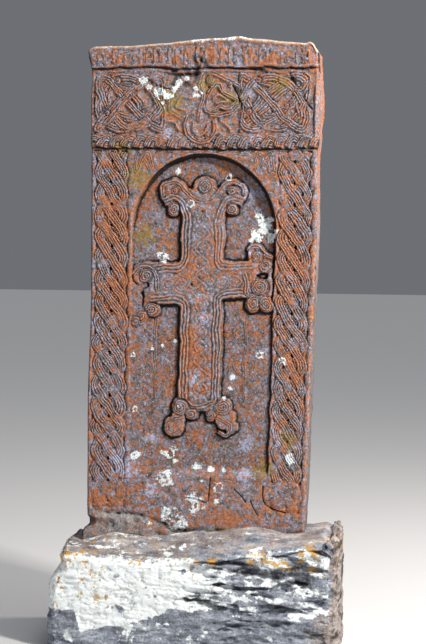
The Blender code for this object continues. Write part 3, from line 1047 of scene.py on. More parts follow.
    def _break_corners(self, x: Array, z: Array) -> None:
        """Break the outer edges back, open the damaged streak in the cornice and the cracks low down.

        Args:
            x: The relief's places across, as a row.
            z: The relief's heights, as a column.
        """
        relief = self.relief
        ragged = self.mottle(31.0, 0.05, 4, 0.6)
        torn = self.mottle(33.0, 0.020, 4, 0.7)
        edge = np.minimum(x - self.left, self.right - x) + 0.0 * z
        relief.height -= mm(8) * ease(edge + mm(3) * ragged, mm(6), mm(0))
        relief.height -= mm(12) * ease(self.top - z + mm(4) * ragged, mm(11), mm(0))
        for points, wide in self.scars():
            place, distance, _ = relief.near(smooth_path(points, mm(5)), mm(wide) * 2.5)
            width = mm(wide) * (1.0 + 1.4 * ragged[place] + 0.7 * torn[place])
            broken = ease(np.abs(distance) / np.maximum(width, mm(1)), 1.0, 0.2)
            relief.height[place] -= (mm(6) + mm(4) * torn[place]) * broken
            relief.lined[place] *= 1.0 - broken
            # Darker round each broken place.
            blackened = ease(np.abs(distance) / np.maximum(width, mm(1)), 2.1, 0.4) * (0.55 + 0.9 * torn[place])
            self.dark_marks_and_painted_shadow[place] = np.maximum(self.dark_marks_and_painted_shadow[place], np.clip(blackened, 0.0, 1.0))
        for points in self.cracks():
            place, distance, _ = relief.near(smooth_path(points, mm(6)), mm(12))
            relief.height[place] -= mm(8) * ease(np.abs(distance), mm(4.0) * (1.0 + 0.6 * ragged[place]), 0.0)

    def scars(self) -> list[tuple[list[Point], float]]:
        """Broken places in the cornice: a line along the middle of each, and half its width in millimetres.

        Returns:
            Each line with its half width.
        """
        top = self.top
        return [
            ([(0.010, top - 0.058), (-0.012, top - 0.078), (-0.050, top - 0.108), (-0.085, top - 0.136)], 21),
            ([(-0.110, top - 0.092), (-0.060, top - 0.104), (-0.020, top - 0.098)], 17),
            ([(-0.185, top - 0.120), (-0.140, top - 0.142), (-0.100, top - 0.150)], 8),
            ([(0.186, top - 0.080), (0.240, top - 0.086)], 7),
            ([(0.120, top - 0.130), (0.150, top - 0.190), (0.160, top - 0.240)], 4),
            ([(0.330, top - 0.096), (0.348, top - 0.130)], 8),
            ([(0.385, top - 0.186), (0.412, top - 0.220)], 5),
        ]

    def cracks(self) -> list[list[Point]]:
        """Short open cracks and broken frame lines near the bottom.

        Returns:
            A few points along each.
        """
        low = self.bottom
        return [
            [(0.060, low + 0.150), (0.056, low + 0.100), (0.052, low + 0.066)],
            [(0.262, low + 0.125), (0.264, low + 0.075), (0.290, low + 0.048), (0.352, low + 0.030)],
            [(0.214, low + 0.070), (0.230, low + 0.040), (0.244, low + 0.018)],
            [(0.150, low + 0.110), (0.176, low + 0.088), (0.196, low + 0.066)],
            [(-0.030, low + 0.075), (0.010, low + 0.070), (0.044, low + 0.058)],
        ]

    def colonies(self) -> list[Colony]:
        """The lichen colonies that stand out, placed from the cross's centre and the slab's top.

        Returns:
            Every colony, all kinds together.
        """
        cx, cz = self.cross_x, self.cross_z
        white = [
            (-0.095, 0.395, 11, 0.0), (0.092, 0.372, 14, 0.5), (-0.045, 0.282, 14, 0.4), (0.228, 0.205, 27, 0.0),
            (0.196, 0.170, 20, 0.0), (0.250, 0.165, 16, 0.0), (-0.145, 0.096, 20, 0.5), (-0.095, -0.206, 8, 0.0),
            (-0.140, -0.226, 8, 0.0), (-0.178, -0.238, 8, 0.0), (-0.248, -0.258, 12, 0.5), (0.222, -0.250, 16, 0.4),
            (0.306, -0.272, 15, 0.5), (0.118, -0.332, 10, 0.0), (0.112, -0.370, 10, 0.0), (0.088, -0.408, 9, 0.0),
            (-0.235, -0.452, 10, 0.3), (-0.104, -0.612, 22, 0.6), (-0.232, -0.618, 18, 0.3), (0.348, -0.618, 20, 0.0),
            (-0.122, -0.696, 30, 0.3), (-0.010, -0.656, 16, 0.2), (0.048, -0.664, 13, 0.0), (0.094, -0.668, 13, 0.0),
            (0.076, -0.730, 20, 0.6), (0.072, -0.772, 14, 0.2), (-0.008, -0.785, 32, 0.2), (-0.090, -0.842, 42, 0.6),
            (-0.184, -0.862, 10, 0.0), (0.015, -0.700, 9, 0.0), (-0.068, -0.440, 9, 0.6), (0.210, 0.232, 18, 0.2),
            (0.248, 0.228, 14, 0.0), (0.222, 0.188, 20, 0.2), (0.180, 0.152, 11, 0.0), (0.268, 0.188, 10, 0.0),
            (-0.136, 0.076, 12, 0.2), (-0.128, -0.612, 14, 0.0), (-0.088, -0.636, 14, 0.3), (-0.106, -0.716, 18, 0.2),
            (-0.030, -0.766, 16, 0.2), (0.018, -0.800, 14, 0.0), (-0.118, -0.816, 18, 0.4), (-0.062, -0.866, 20, 0.4),
        ]
        bloom = [
            (-0.298, -0.628, 52), (-0.250, -0.668, 40), (-0.178, -0.556, 24), (0.176, -0.565, 30), (0.290, -0.520, 34),
            (0.015, -0.120, 24), (-0.025, -0.330, 26), (0.260, -0.245, 22), (0.180, 0.130, 30), (0.160, 0.330, 30),
            (-0.072, 0.268, 16), (0.176, -0.676, 26), (0.325, 0.02, 22), (-0.175, -0.742, 26), (0.0, -0.05, 18),
            (0.30, -0.56, 22), (-0.13, 0.52, 24), (0.19, 0.52, 30),
        ]
        yellow = [
            (-0.115, 0.640, 60, 0.8), (0.105, 0.650, 46, 0.8), (-0.240, 0.380, 50, 1.0), (0.02, 0.700, 50, 0.5),
            (0.335, -0.545, 34, 1.2), (0.250, -0.655, 40, 0.8), (-0.300, 0.470, 40, 0.7), (0.275, 0.700, 46, 0.6),
            (0.10, -0.89, 60, 0.4), (-0.22, 0.17, 40, 1.0),
        ]
        rust = [
            (0.028, 0.792, 22, 1.0), (-0.110, 0.590, 26, 0.9), (0.160, 0.580, 26, 1.0), (0.25, 0.775, 34, 0.6),
            (-0.330, 0.20, 60, 2.0), (0.320, 0.10, 56, 2.2), (-0.04, -0.25, 50, 2.0), (-0.360, -0.775, 40, 1.0),
            (0.10, -0.84, 80, 0.4), (0.355, -0.30, 40, 2.0), (-0.19, 0.33, 44, 1.2), (-0.30, -0.05, 50, 2.4),
        ]
        # White spots across the cornice, from the cross's middle line and the slab's top
        spots = [
            (-0.216, 0.118, 15), (-0.196, 0.140, 13), (-0.160, 0.160, 17), (-0.128, 0.172, 16), (-0.105, 0.150, 12),
            (-0.085, 0.128, 15), (-0.060, 0.112, 10), (-0.142, 0.196, 10), (-0.018, 0.172, 14), (-0.026, 0.148, 9),
        ]
        made = [Colony(cx + x, cz + z, mm(1.12 * r), Crust.WHITE, hollow) for x, z, r, hollow in white]
        made += [Colony(cx + x, cz + z, mm(r), Crust.BLOOM) for x, z, r in bloom]
        for kind, patches in ((Crust.YELLOW, yellow), (Crust.RUST, rust)):
            made += [Colony(cx + x, cz + z, mm(r), kind, 0.0, tall) for x, z, r, tall in patches]
        made += [Colony(cx + x, self.top - drop, mm(1.25 * r), Crust.WHITE) for x, drop, r in spots]
        made += [Colony(x, self.top - mm(1), mm(r), Crust.WHITE) for x, r in self.crest]
        return made

    def grow_lichens(self) -> dict[Crust, Array]:
        """Spread each colony over the relief and raise the white ones into a low crust.

        Returns:
            How thick each kind of crust is, from 0 to 1, on the relief's grid.
        """
        relief = self.relief
        wobble = self.mottle(57.0, 0.016, 3, 0.65)
        lobes = self.mottle(77.0, 0.030, 2, 0.6)
        cover = {kind: np.zeros_like(relief.height) for kind in Crust}
        for colony in self.colonies():
            reach = colony.radius * 2.4 * max(1.0, colony.tall)
            place = relief.window(colony.x - reach, colony.x + reach, colony.z - reach, colony.z + reach)
            dx = relief.x[place[1]][None, :] - colony.x
            dz = (relief.z[place[0]][:, None] - colony.z) / colony.tall
            distance = np.hypot(dx, dz) / colony.radius + 0.55 * wobble[place] + 0.42 * lobes[place]
            grown = ease(distance, 1.30, 0.30)
            if colony.open_middle:
                grown = grown * (1.0 - ease(distance, colony.open_middle, colony.open_middle * 0.3))
            target = cover[colony.kind]
            target[place] = np.maximum(target[place], grown)
        crumbs = self.mottle(91.0, 0.006, 2, 0.7)
        thick = ease(cover[Crust.WHITE] + 0.2 * crumbs, 0.35, 0.6)
        relief.height += thick * (mm(1.6) + mm(0.9) * crumbs)
        return cover


def zip_rows(one: Array, other: Array, place_one: Array, place_other: Array) -> list[tuple[int, int, int]]:
    """Join two rows of points with a strip of triangles.

    Args:
        one: Indices along the first row.
        other: Indices along the second row.
        place_one: How far along each point of the first row is, rising.
        place_other: The same for the second row.

    Returns:
        Triangles that face the side on which the first row runs forward below the second.
    """
    faces = []
    i = j = 0
    while i < len(one) - 1 or j < len(other) - 1:
        step_first = j == len(other) - 1 or (
            i < len(one) - 1 and place_one[i + 1] + place_one[i] <= place_other[j + 1] + place_other[j]
        )
        if step_first:
            faces.append((int(one[i]), int(one[i + 1]), int(other[j])))
            i += 1
        else:
            faces.append((int(one[i]), int(other[j + 1]), int(other[j])))
            j += 1
    return faces


def sheet_faces(index: Array) -> Array:
    """Quads of a grid of point indices, each listed so that it faces along (column step) x (row step).

    Args:
        index: The points' numbers, as a grid of rows and columns.

    Returns:
        Four numbers a quad, one row each.
    """
    return np.stack(
        [index[:-1, :-1].ravel(), index[:-1, 1:].ravel(), index[1:, 1:].ravel(), index[1:, :-1].ravel()], axis=1
    )


def mesh_piece(name: str, points: Array, faces: Iterable[Sequence[int]]) -> Piece:
    """Make a mesh object in the scene.

    Args:
        name: The piece's name.
        points: Its points, one row each.
        faces: Its faces.

    Returns:
        The object.
    """
    mesh = bpy.data.meshes.new(name)
    mesh.from_pydata(points.tolist(), [], [list(map(int, face)) for face in faces])
    mesh.validate()
    piece = bpy.data.objects.new(name, mesh)
    bpy.context.scene.collection.objects.link(piece)
    return piece


def thin_out(piece: Piece, most: int) -> None:
    """Merge the triangles that carry least shape until the mesh has at most this many.

    Args:
        piece: The mesh object.
        most: The number of triangles to keep.
    """
    triangles = sum(len(face.vertices) - 2 for face in piece.data.polygons)
    if triangles > most:
        thin = piece.modifiers.new("Thin out", "DECIMATE")
        thin.ratio = most / triangles
        thin.use_collapse_triangulate = True
        bpy.context.view_layer.objects.active = piece
        with bpy.context.temp_override(object=piece, active_object=piece, selected_objects=[piece]):
            bpy.ops.object.modifier_apply(modifier=thin.name)
    shape = bmesh.new()
    shape.from_mesh(piece.data)
    bmesh.ops.triangulate(shape, faces=shape.faces)
    bmesh.ops.recalc_face_normals(shape, faces=shape.faces)
    shape.to_mesh(piece.data)
    shape.free()
    piece.data.shade_smooth()


def point_array(piece: Piece) -> Array:
    """The mesh's points, one row each.

    Args:
        piece: The mesh object.

    Returns:
        Positions, one row each.
    """
    flat = np.empty(len(piece.data.vertices) * 3, np.float32)
    piece.data.vertices.foreach_get("co", flat)
    return flat.reshape(-1, 3).astype(float)


def paint(piece: Piece, name: str, values: Array) -> None:
    """Store one number a point, for the material to read."""
    attribute = piece.data.attributes.new(name, "FLOAT", "POINT")
    attribute.data.foreach_set("value", values.astype(np.float32))


def side_of(normals: Array) -> Array:
    """Which way each face looks.

    Args:
        normals: The faces' normals.

    Returns:
        0 for the front, 1 for the back, 2 for the right, 3 for the left, 4 for the top and 5 for the bottom.
    """
    nx, ny, nz = np.abs(normals).T
    side = np.where(normals[:, 1] < 0, 0, 1)
    side = np.where((nx >= ny) & (nx >= nz), np.where(normals[:, 0] > 0, 2, 3), side)
    return np.where((nz > nx) & (nz > ny), np.where(normals[:, 2] > 0, 4, 5), side)


def unfold(piece: Piece, panels: Callable[[Array, Array], tuple[Array, Places]]) -> None:
    """Lay the mesh out flat for its baked colours.

    Args:
        piece: The mesh object.
        panels: Gives the panel each corner belongs to, and its place on each of the six, from its position
            and its face's normal.
    """
    mesh = piece.data
    layer = mesh.uv_layers.new(name="OFBake")
    corners = np.empty(len(mesh.loops), np.int32)
    mesh.loops.foreach_get("vertex_index", corners)
    normals = np.empty(len(mesh.polygons) * 3, np.float32)
    mesh.polygons.foreach_get("normal", normals)
    normals = np.repeat(normals.reshape(-1, 3), 3, axis=0)
    points = point_array(piece)
    centres = np.repeat(points[corners].reshape(-1, 3, 3).mean(axis=1), 3, axis=0)
    side, _ = panels(centres, normals)
    _, places = panels(points[corners], normals)
    flat = np.stack([np.stack(place, axis=1) for place in places], axis=1)
    chosen = np.take_along_axis(flat, side[:, None, None], axis=1)[:, 0]
    layer.data.foreach_set("uv", chosen.astype(np.float32).ravel())


@dataclass
class CarvedSlab:
    """The whole slab: its carved front, its rough sides and back, and its lichens."""

    low: Vector
    high: Vector
    face_pitch: float
    wrap_pitch: float = mm(9)
    most_triangles: int = 196_000
    lump: float = 0.013
    overhang: float = 0.0075
    crown: float = 0.0363
    lean: float = 0.040
    foot_rise: float = 0.212
    seed: int = 23

    def __post_init__(self) -> None:
        """Work the slab's main lines out from its box."""
        self.left = self.low.x
        self.right = self.high.x - self.overhang
        self.top = self.high.z - self.crown
        self.bottom = self.low.z + self.foot_rise
        self.back = self.high.y
        self.front = -self.high.y
        self.foot_low = self.low.z + 0.060
        self.columns = int((self.right - self.left) / self.wrap_pitch)
        self.side_columns = int((self.back - self.front) / self.wrap_pitch)
        self.noise = Unevenness(self.seed)
        self.face = CarvedFace(
            self.left, self.right, self.bottom, self.top, self.foot_low, self.face_pitch, seed=self.seed - 12
        )

    def bend(self, x: Array, z: Array) -> tuple[Array, Array]:
        """Move places on the straight layout to the slab's own worn outline.

        Args:
            x: Places across the layout.
            z: Heights on the layout.

        Returns:
            The same places on the real slab.
        """
        share = np.clip((x - self.left) / (self.right - self.left), 0.0, 1.05)
        ragged = self.noise.layers(np.stack([x * 0.2, z * 0 + 1.0, z], axis=1), 0.09, 4, 0.55)
        bow = mm(10) * ease(z, self.bottom + 0.38, self.bottom + 0.80) * ease(z, self.top - 0.020, self.top - 0.080)
        notch = mm(5) * np.exp(-(((z - self.top + 0.110) / 0.024) ** 2))
        low = self.bottom
        break_back = ease(z, low + mm(4), low - mm(10)) * ease(z, low - mm(62), low - mm(44))
        left_edge = mm(2.0) * np.abs(ragged) + bow + notch
        left_edge = left_edge + 0.008 * break_back - mm(20) * ease(z, low - mm(26), low - mm(48))
        sunk = np.clip((self.top - 0.375 - z) / (self.top - 0.375 - self.bottom), 0.0, 1.1)
        upper = ease(z, self.top - 0.675, self.top - 0.375)
        right_edge = -mm(4) - mm(9) * upper - (self.lean - mm(2)) * sunk - mm(2.0) * np.abs(ragged)
        moved_x = x + left_edge * (1.0 - share) ** 2 + right_edge * share**2.5
        crown = self.noise.layers(np.stack([x, z * 0 + 4.0, z * 0], axis=1), 0.07, 4, 0.6)
        hump = 0.030 * np.exp(-(((x - 0.12) / 0.25) ** 2)) + mm(5) * np.exp(-(((x - 0.135) / 0.03) ** 2))
        corner = mm(7) * np.exp(-(((x - 0.402) / 0.010) ** 2)) - mm(26) * ease(x, 0.410, self.right)
        corner = corner - mm(8) * ease(x, self.left + mm(26), self.left)
        top_share = ease(z, self.top - 0.07, self.top)
        moved_z = z + top_share * (hump + corner + mm(2.5) * crown)
        return moved_x, moved_z

    def unbend(self, x: Array, z: Array) -> tuple[Array, Array]:
        """Find where on the straight layout places on the real slab come from, by rounds of correction.

        Args:
            x: Places across the slab.
            z: Heights on the slab.

        Returns:
            The same places on the layout.
        """
        flat_x, flat_z = x.copy(), z.copy()
        for _ in range(12):
            moved_x, moved_z = self.bend(flat_x, flat_z)
            flat_x += x - moved_x
            flat_z += z - moved_z
        return flat_x, flat_z

    def front_points(self) -> Array:
        """Points of the carved front.

        Returns:
            Positions, row by row of the relief.
        """
        relief = self.face.relief
        x, z = np.meshgrid(relief.x, relief.z)
        moved_x, moved_z = self.bend(x.ravel(), z.ravel())
        return np.stack([moved_x, self.front - relief.height.ravel(), moved_z], axis=1)

    def wrap_points(self, rows: Array) -> Array:
        """Points of the two sides and the back, from the front's right edge round to its left.

        Args:
            rows: Heights of the rows.

        Returns:
            A grid of points: rows, then columns, then x, y and z.
        """
        deep = np.linspace(0.0, 1.0, self.side_columns + 1)
        across = np.linspace(0.0, 1.0, self.columns + 1)
        ends = (np.full(self.side_columns, edge) for edge in (self.right, self.left))
        x = np.concatenate([next(ends), self.right + across * (self.left - self.right), next(ends)])
        y = np.concatenate([deep[:-1], np.ones(self.columns + 1), 1.0 - deep[1:]])
        grid_x, grid_z = np.meshgrid(x, rows)
        grid_y = np.broadcast_to(y, grid_x.shape)
        moved_x, moved_z = self.bend(grid_x.ravel(), grid_z.ravel())
        moved_y = self.front + grid_y.ravel() * (self.back - self.front)
        points = np.stack([moved_x, moved_y, moved_z], axis=1)
        return self._roughen(points, grid_x.ravel(), grid_y.ravel()).reshape(*grid_x.shape, 3)

    def _roughen(self, points: Array, layout_x: Array, deep: Array) -> Array:
        """Hew the sides and the back roughly, and leave the proud lump high on the right side.

        Args:
            points: The smooth points.
            layout_x: Their places across the straight layout.
            deep: How far back each is, from 0 to 1.

        Returns:
            The hewn points.
        """
        broad = self.noise.layers(points, 0.16, 3, 0.5)
        fine = self.noise.layers(points + 3.0, 0.035, 4, 0.6)
        hewn = mm(7) * broad + mm(4.5) * fine
        on_back = (deep > 0.999).astype(float)
        on_right = (layout_x > self.right - 1e-6).astype(float)
        on_left = (layout_x < self.left + 1e-6).astype(float)
        inward = ease(deep, 0.0, 0.10)
        lump = np.exp(-(((points[:, 2] - self.top + 0.200) / 0.125) ** 2)) * ease(deep, 0.02, 0.22)
        lump = lump * ease(points[:, 2], self.top - 0.380, self.top - 0.350)
        jag = mm(4) * self.noise.layers(points + 8.0, 0.03, 3, 0.6)
        moved = points.copy()
        moved[:, 0] += on_right * (inward * (-np.abs(hewn) * 0.6) + lump * (self.lump + jag * 0.6))
        moved[:, 0] += on_left * inward * np.abs(hewn) * 0.8
        moved[:, 1] -= on_back * (mm(2) + np.abs(hewn) * 1.2)
        back_corner = on_back * np.maximum(on_right, on_left)
        moved[:, 1] -= back_corner * mm(10)
        return moved

    def build(self) -> Piece:
        """Carve the front, wrap the rest of the stone round it and dress it.

        Returns:
            The slab's one closed mesh.
        """
        self.face.carve()
        self.cover = self.face.grow_lichens()
        relief = self.face.relief
        front = self.front_points()
        front_index = np.arange(len(front)).reshape(relief.height.shape)
        rows = np.linspace(relief.low, relief.high, int((relief.high - relief.low) / self.wrap_pitch) + 1)
        inner = self.wrap_points(rows)[:, 1:-1].reshape(-1, 3)
        wrap_index = len(front) + np.arange(len(inner)).reshape(len(rows), -1)
        faces: list[Sequence[int]] = [*sheet_faces(front_index), *sheet_faces(wrap_index)]
        faces += zip_rows(wrap_index[:, 0], front_index[:, -1], rows, relief.z)
        faces += zip_rows(front_index[:, 0], wrap_index[:, -1], relief.z, rows)
        points = np.concatenate([front, inner])
        for row, upward in ((-1, True), (0, False)):
            cap_points, cap_faces = self._cap(points, front_index[row], wrap_index[row], upward)
            points = np.concatenate([points, cap_points])
            faces += cap_faces
        piece = mesh_piece("lichened_slab", points, faces)
        thin_out(piece, self.most_triangles)
        self._paint(piece)
        unfold(piece, self._panels)
        return piece

    def _cap(
        self, points: Array, front_row: Array, wrap_row: Array, upward: bool
    ) -> tuple[Array, list[Sequence[int]]]:
        """Close the top or the bottom with a rough grid between the front row and the back row.

        Args:
            points: The stone's points so far.
            front_row: Indices of the front's last row.
            wrap_row: Indices of the last row of the sides and the back.
            upward: Whether this is the top.

        Returns:
            The cap's own points, and its faces.
        """
        sides = self.side_columns
        back = wrap_row[sides - 1 : sides + self.columns][::-1]
        left = wrap_row[sides + self.columns :][::-1]
        right = wrap_row[: sides - 1]
        share = np.linspace(0.0, 1.0, self.columns + 1)
        along = np.linspace(0, 1, len(front_row))
        front_line = np.stack([np.interp(share, along, points[front_row, axis]) for axis in range(3)], axis=1)
        deep = np.arange(1, sides)[:, None, None] / sides
        grid = (front_line[None] * (1 - deep) + points[back][None] * deep)[:, 1:-1]
        rough = self.noise.layers(grid.reshape(-1, 3), 0.06, 4, 0.6).reshape(grid.shape[:2])
        grid[..., 2] += (mm(5) * rough - mm(1)) if upward else 0.0
        index = len(points) + np.arange(rough.size).reshape(rough.shape)
        full = np.concatenate([left[: sides - 1][:, None], index, right[: sides - 1][:, None]], axis=1)
        full = np.concatenate([full, back[None]], axis=0)
        faces: list[Sequence[int]] = list(sheet_faces(full))
        faces += zip_rows(front_row, full[0], along, share)
        if not upward:
            faces = [tuple(face)[::-1] for face in faces]
        return grid.reshape(-1, 3), faces

    def _paint(self, piece: Piece) -> None:
        """Store where cords, painted shade and shadow, ridges, a painted highlight along the top edge and lichens are,
        for the material.

        Args:
            piece: The slab's mesh.
        """
        points = point_array(piece)
        relief = self.face.relief
        cell = relief.pitch
        smooth = blur(relief.height, mm(1.8) / cell)
        fine = blur(relief.height, mm(6) / cell) - smooth
        broad = blur(relief.height, mm(13) / cell) - smooth
        # Painted shadow: darker where the stone a few millimetres towards the upper right, where the key light hangs,
        # stands higher; less painted shade where the stone towards the lower left stands higher, on the side that
        # faces the key light.
        shadowing_rise = np.zeros_like(smooth)
        for over, up in ((6, 3), (3, 6), (8, 6)):
            shifted = np.roll(smooth, (-int(mm(up) / cell), -int(mm(over) / cell)), axis=(0, 1))
            shadowing_rise = np.maximum(shadowing_rise, shifted - smooth)
        painted_shadow_side = ease(shadowing_rise, mm(3.5), mm(9.0))
        lit_from = np.roll(smooth, (int(mm(3) / cell), int(mm(6) / cell)), axis=(0, 1))
        lit_side = ease(lit_from - smooth, mm(3.5), mm(9.0))
        # Painted shade in narrow and broad recesses and over the niche's ground.
        ground = ease(self.face.inside_niche(), 0.0, mm(4)) * (1.0 - self.face.cross_share)
        sunk = ease(fine, mm(0.7), mm(3.6)) * 0.72 + ease(broad, mm(3.5), mm(10)) * 0.3
        # Painted highlight: a pale strip along the top edge, carried by the proud map.
        crest = 1.45 * ease(relief.z[:, None], self.top - mm(13), self.top - mm(5))
        maps = {
            "hollow": sunk * (1.0 - 0.75 * lit_side) + 1.1 * painted_shadow_side + 0.24 * ground,
            "proud": np.maximum(ease(-fine, mm(0.2), mm(2.0)), crest),
            "lined": relief.lined,
            "dark_marks_and_painted_shadow": blur(self.face.dark_marks_and_painted_shadow, mm(3) / cell),
            "undressed": self.face.undressed,
            **{kind.value: grown for kind, grown in self.cover.items()},
        }
        flat_x, flat_z = self.unbend(points[:, 0], points[:, 2])
        row = np.clip((flat_z - relief.low) / cell, 0, relief.height.shape[0] - 1.001)
        column = np.clip((flat_x - relief.left) / cell, 0, relief.height.shape[1] - 1.001)
        i, j = row.astype(int), column.astype(int)
        u, v = row - i, column - j
        on_front = ease(points[:, 1], self.front + mm(54), self.front + mm(46))
        elsewhere = self._elsewhere(points)
        for name, grid in maps.items():
            lower = grid[i, j] * (1 - v) + grid[i, j + 1] * v
            upper = grid[i + 1, j] * (1 - v) + grid[i + 1, j + 1] * v
            value = (lower * (1 - u) + upper * u) * on_front + elsewhere.get(name, 0.0) * (1 - on_front)
            paint(piece, name, np.clip(value, 0.0, 1.5))
        paint(piece, "cord", relief.cord[np.rint(row).astype(int), np.rint(column).astype(int)])

    def _elsewhere(self, points: Array) -> dict[str, Array]:
        """What the maps hold on the sides, the back and the top; the others hold nothing there.

        Args:
            points: The mesh's points.

        Returns:
            One value a point, by the map's name.
        """
        on_right = ease(points[:, 0], self.right - 0.075, self.right - 0.050)
        on_top = ease(points[:, 2], self.top - mm(20), self.top - mm(4))
        high_up = ease(points[:, 2], self.top - 0.95, self.top - 0.35)
        patches = 0.70 * ease(self.noise.layers(points + 40.0, 0.12, 4), 0.30, 0.75)
        scattered = self.noise.layers(points + 44.0, 0.055, 4, 0.6)
        crest = ease(np.abs(points[:, 0] - 0.085) + 0.05 * scattered, 0.150, 0.080) * on_top
        crest = crest * (0.42 + 0.75 * scattered + 0.30 * ease(points[:, 1], self.front + 0.07, self.front))
        return {
            "undressed": 1.0 - 0.75 * np.maximum(on_right * high_up, on_top),
            # Painted shade low on the right side; the proud map carries a painted highlight over the top and the right
            # side's upper part.
            "hollow": 0.42 * on_right * (1.0 - high_up),
            "rust": 0.55 * on_right * high_up,
            "proud": 0.9 * on_top + 0.7 * on_right * high_up,
            "white": np.maximum(patches * (1.0 - on_right) * (1.0 - 0.6 * on_top), crest),
        }

    def _panels(self, points: Array, normals: Array) -> tuple[Array, Places]:
        """Lay front, back, sides, top and bottom out side by side on the sheet.

        Args:
            points: Corner or face positions.
            normals: Normals of the faces they belong to.

        Returns:
            The panel each belongs to, and its place on every panel.
        """
        tall = self.high.z - self.low.z + 0.02
        x, y, z = points.T
        across = (x - self.low.x + 0.01) / tall
        up = (z - self.low.z + 0.01) / tall
        deep = (y - self.front + 0.03) / tall
        beside = 0.49 + 0.55 * across
        places = (
            (across, up),
            (beside, 0.55 * up),
            (0.76 + 0.8 * deep, up * 0.99),
            (0.88 + 0.8 * deep, up * 0.99),
            (beside, 0.60 + deep),
            (beside, 0.80 + deep),
        )
        # Whatever is cut into the front belongs to it, whichever way it looks.
        inside = (x > self.left + mm(12)) & (x < self.right - mm(14)) & (z < self.top - mm(12))
        return np.where((y < self.front + mm(52)) & inside, 0, side_of(normals)), places


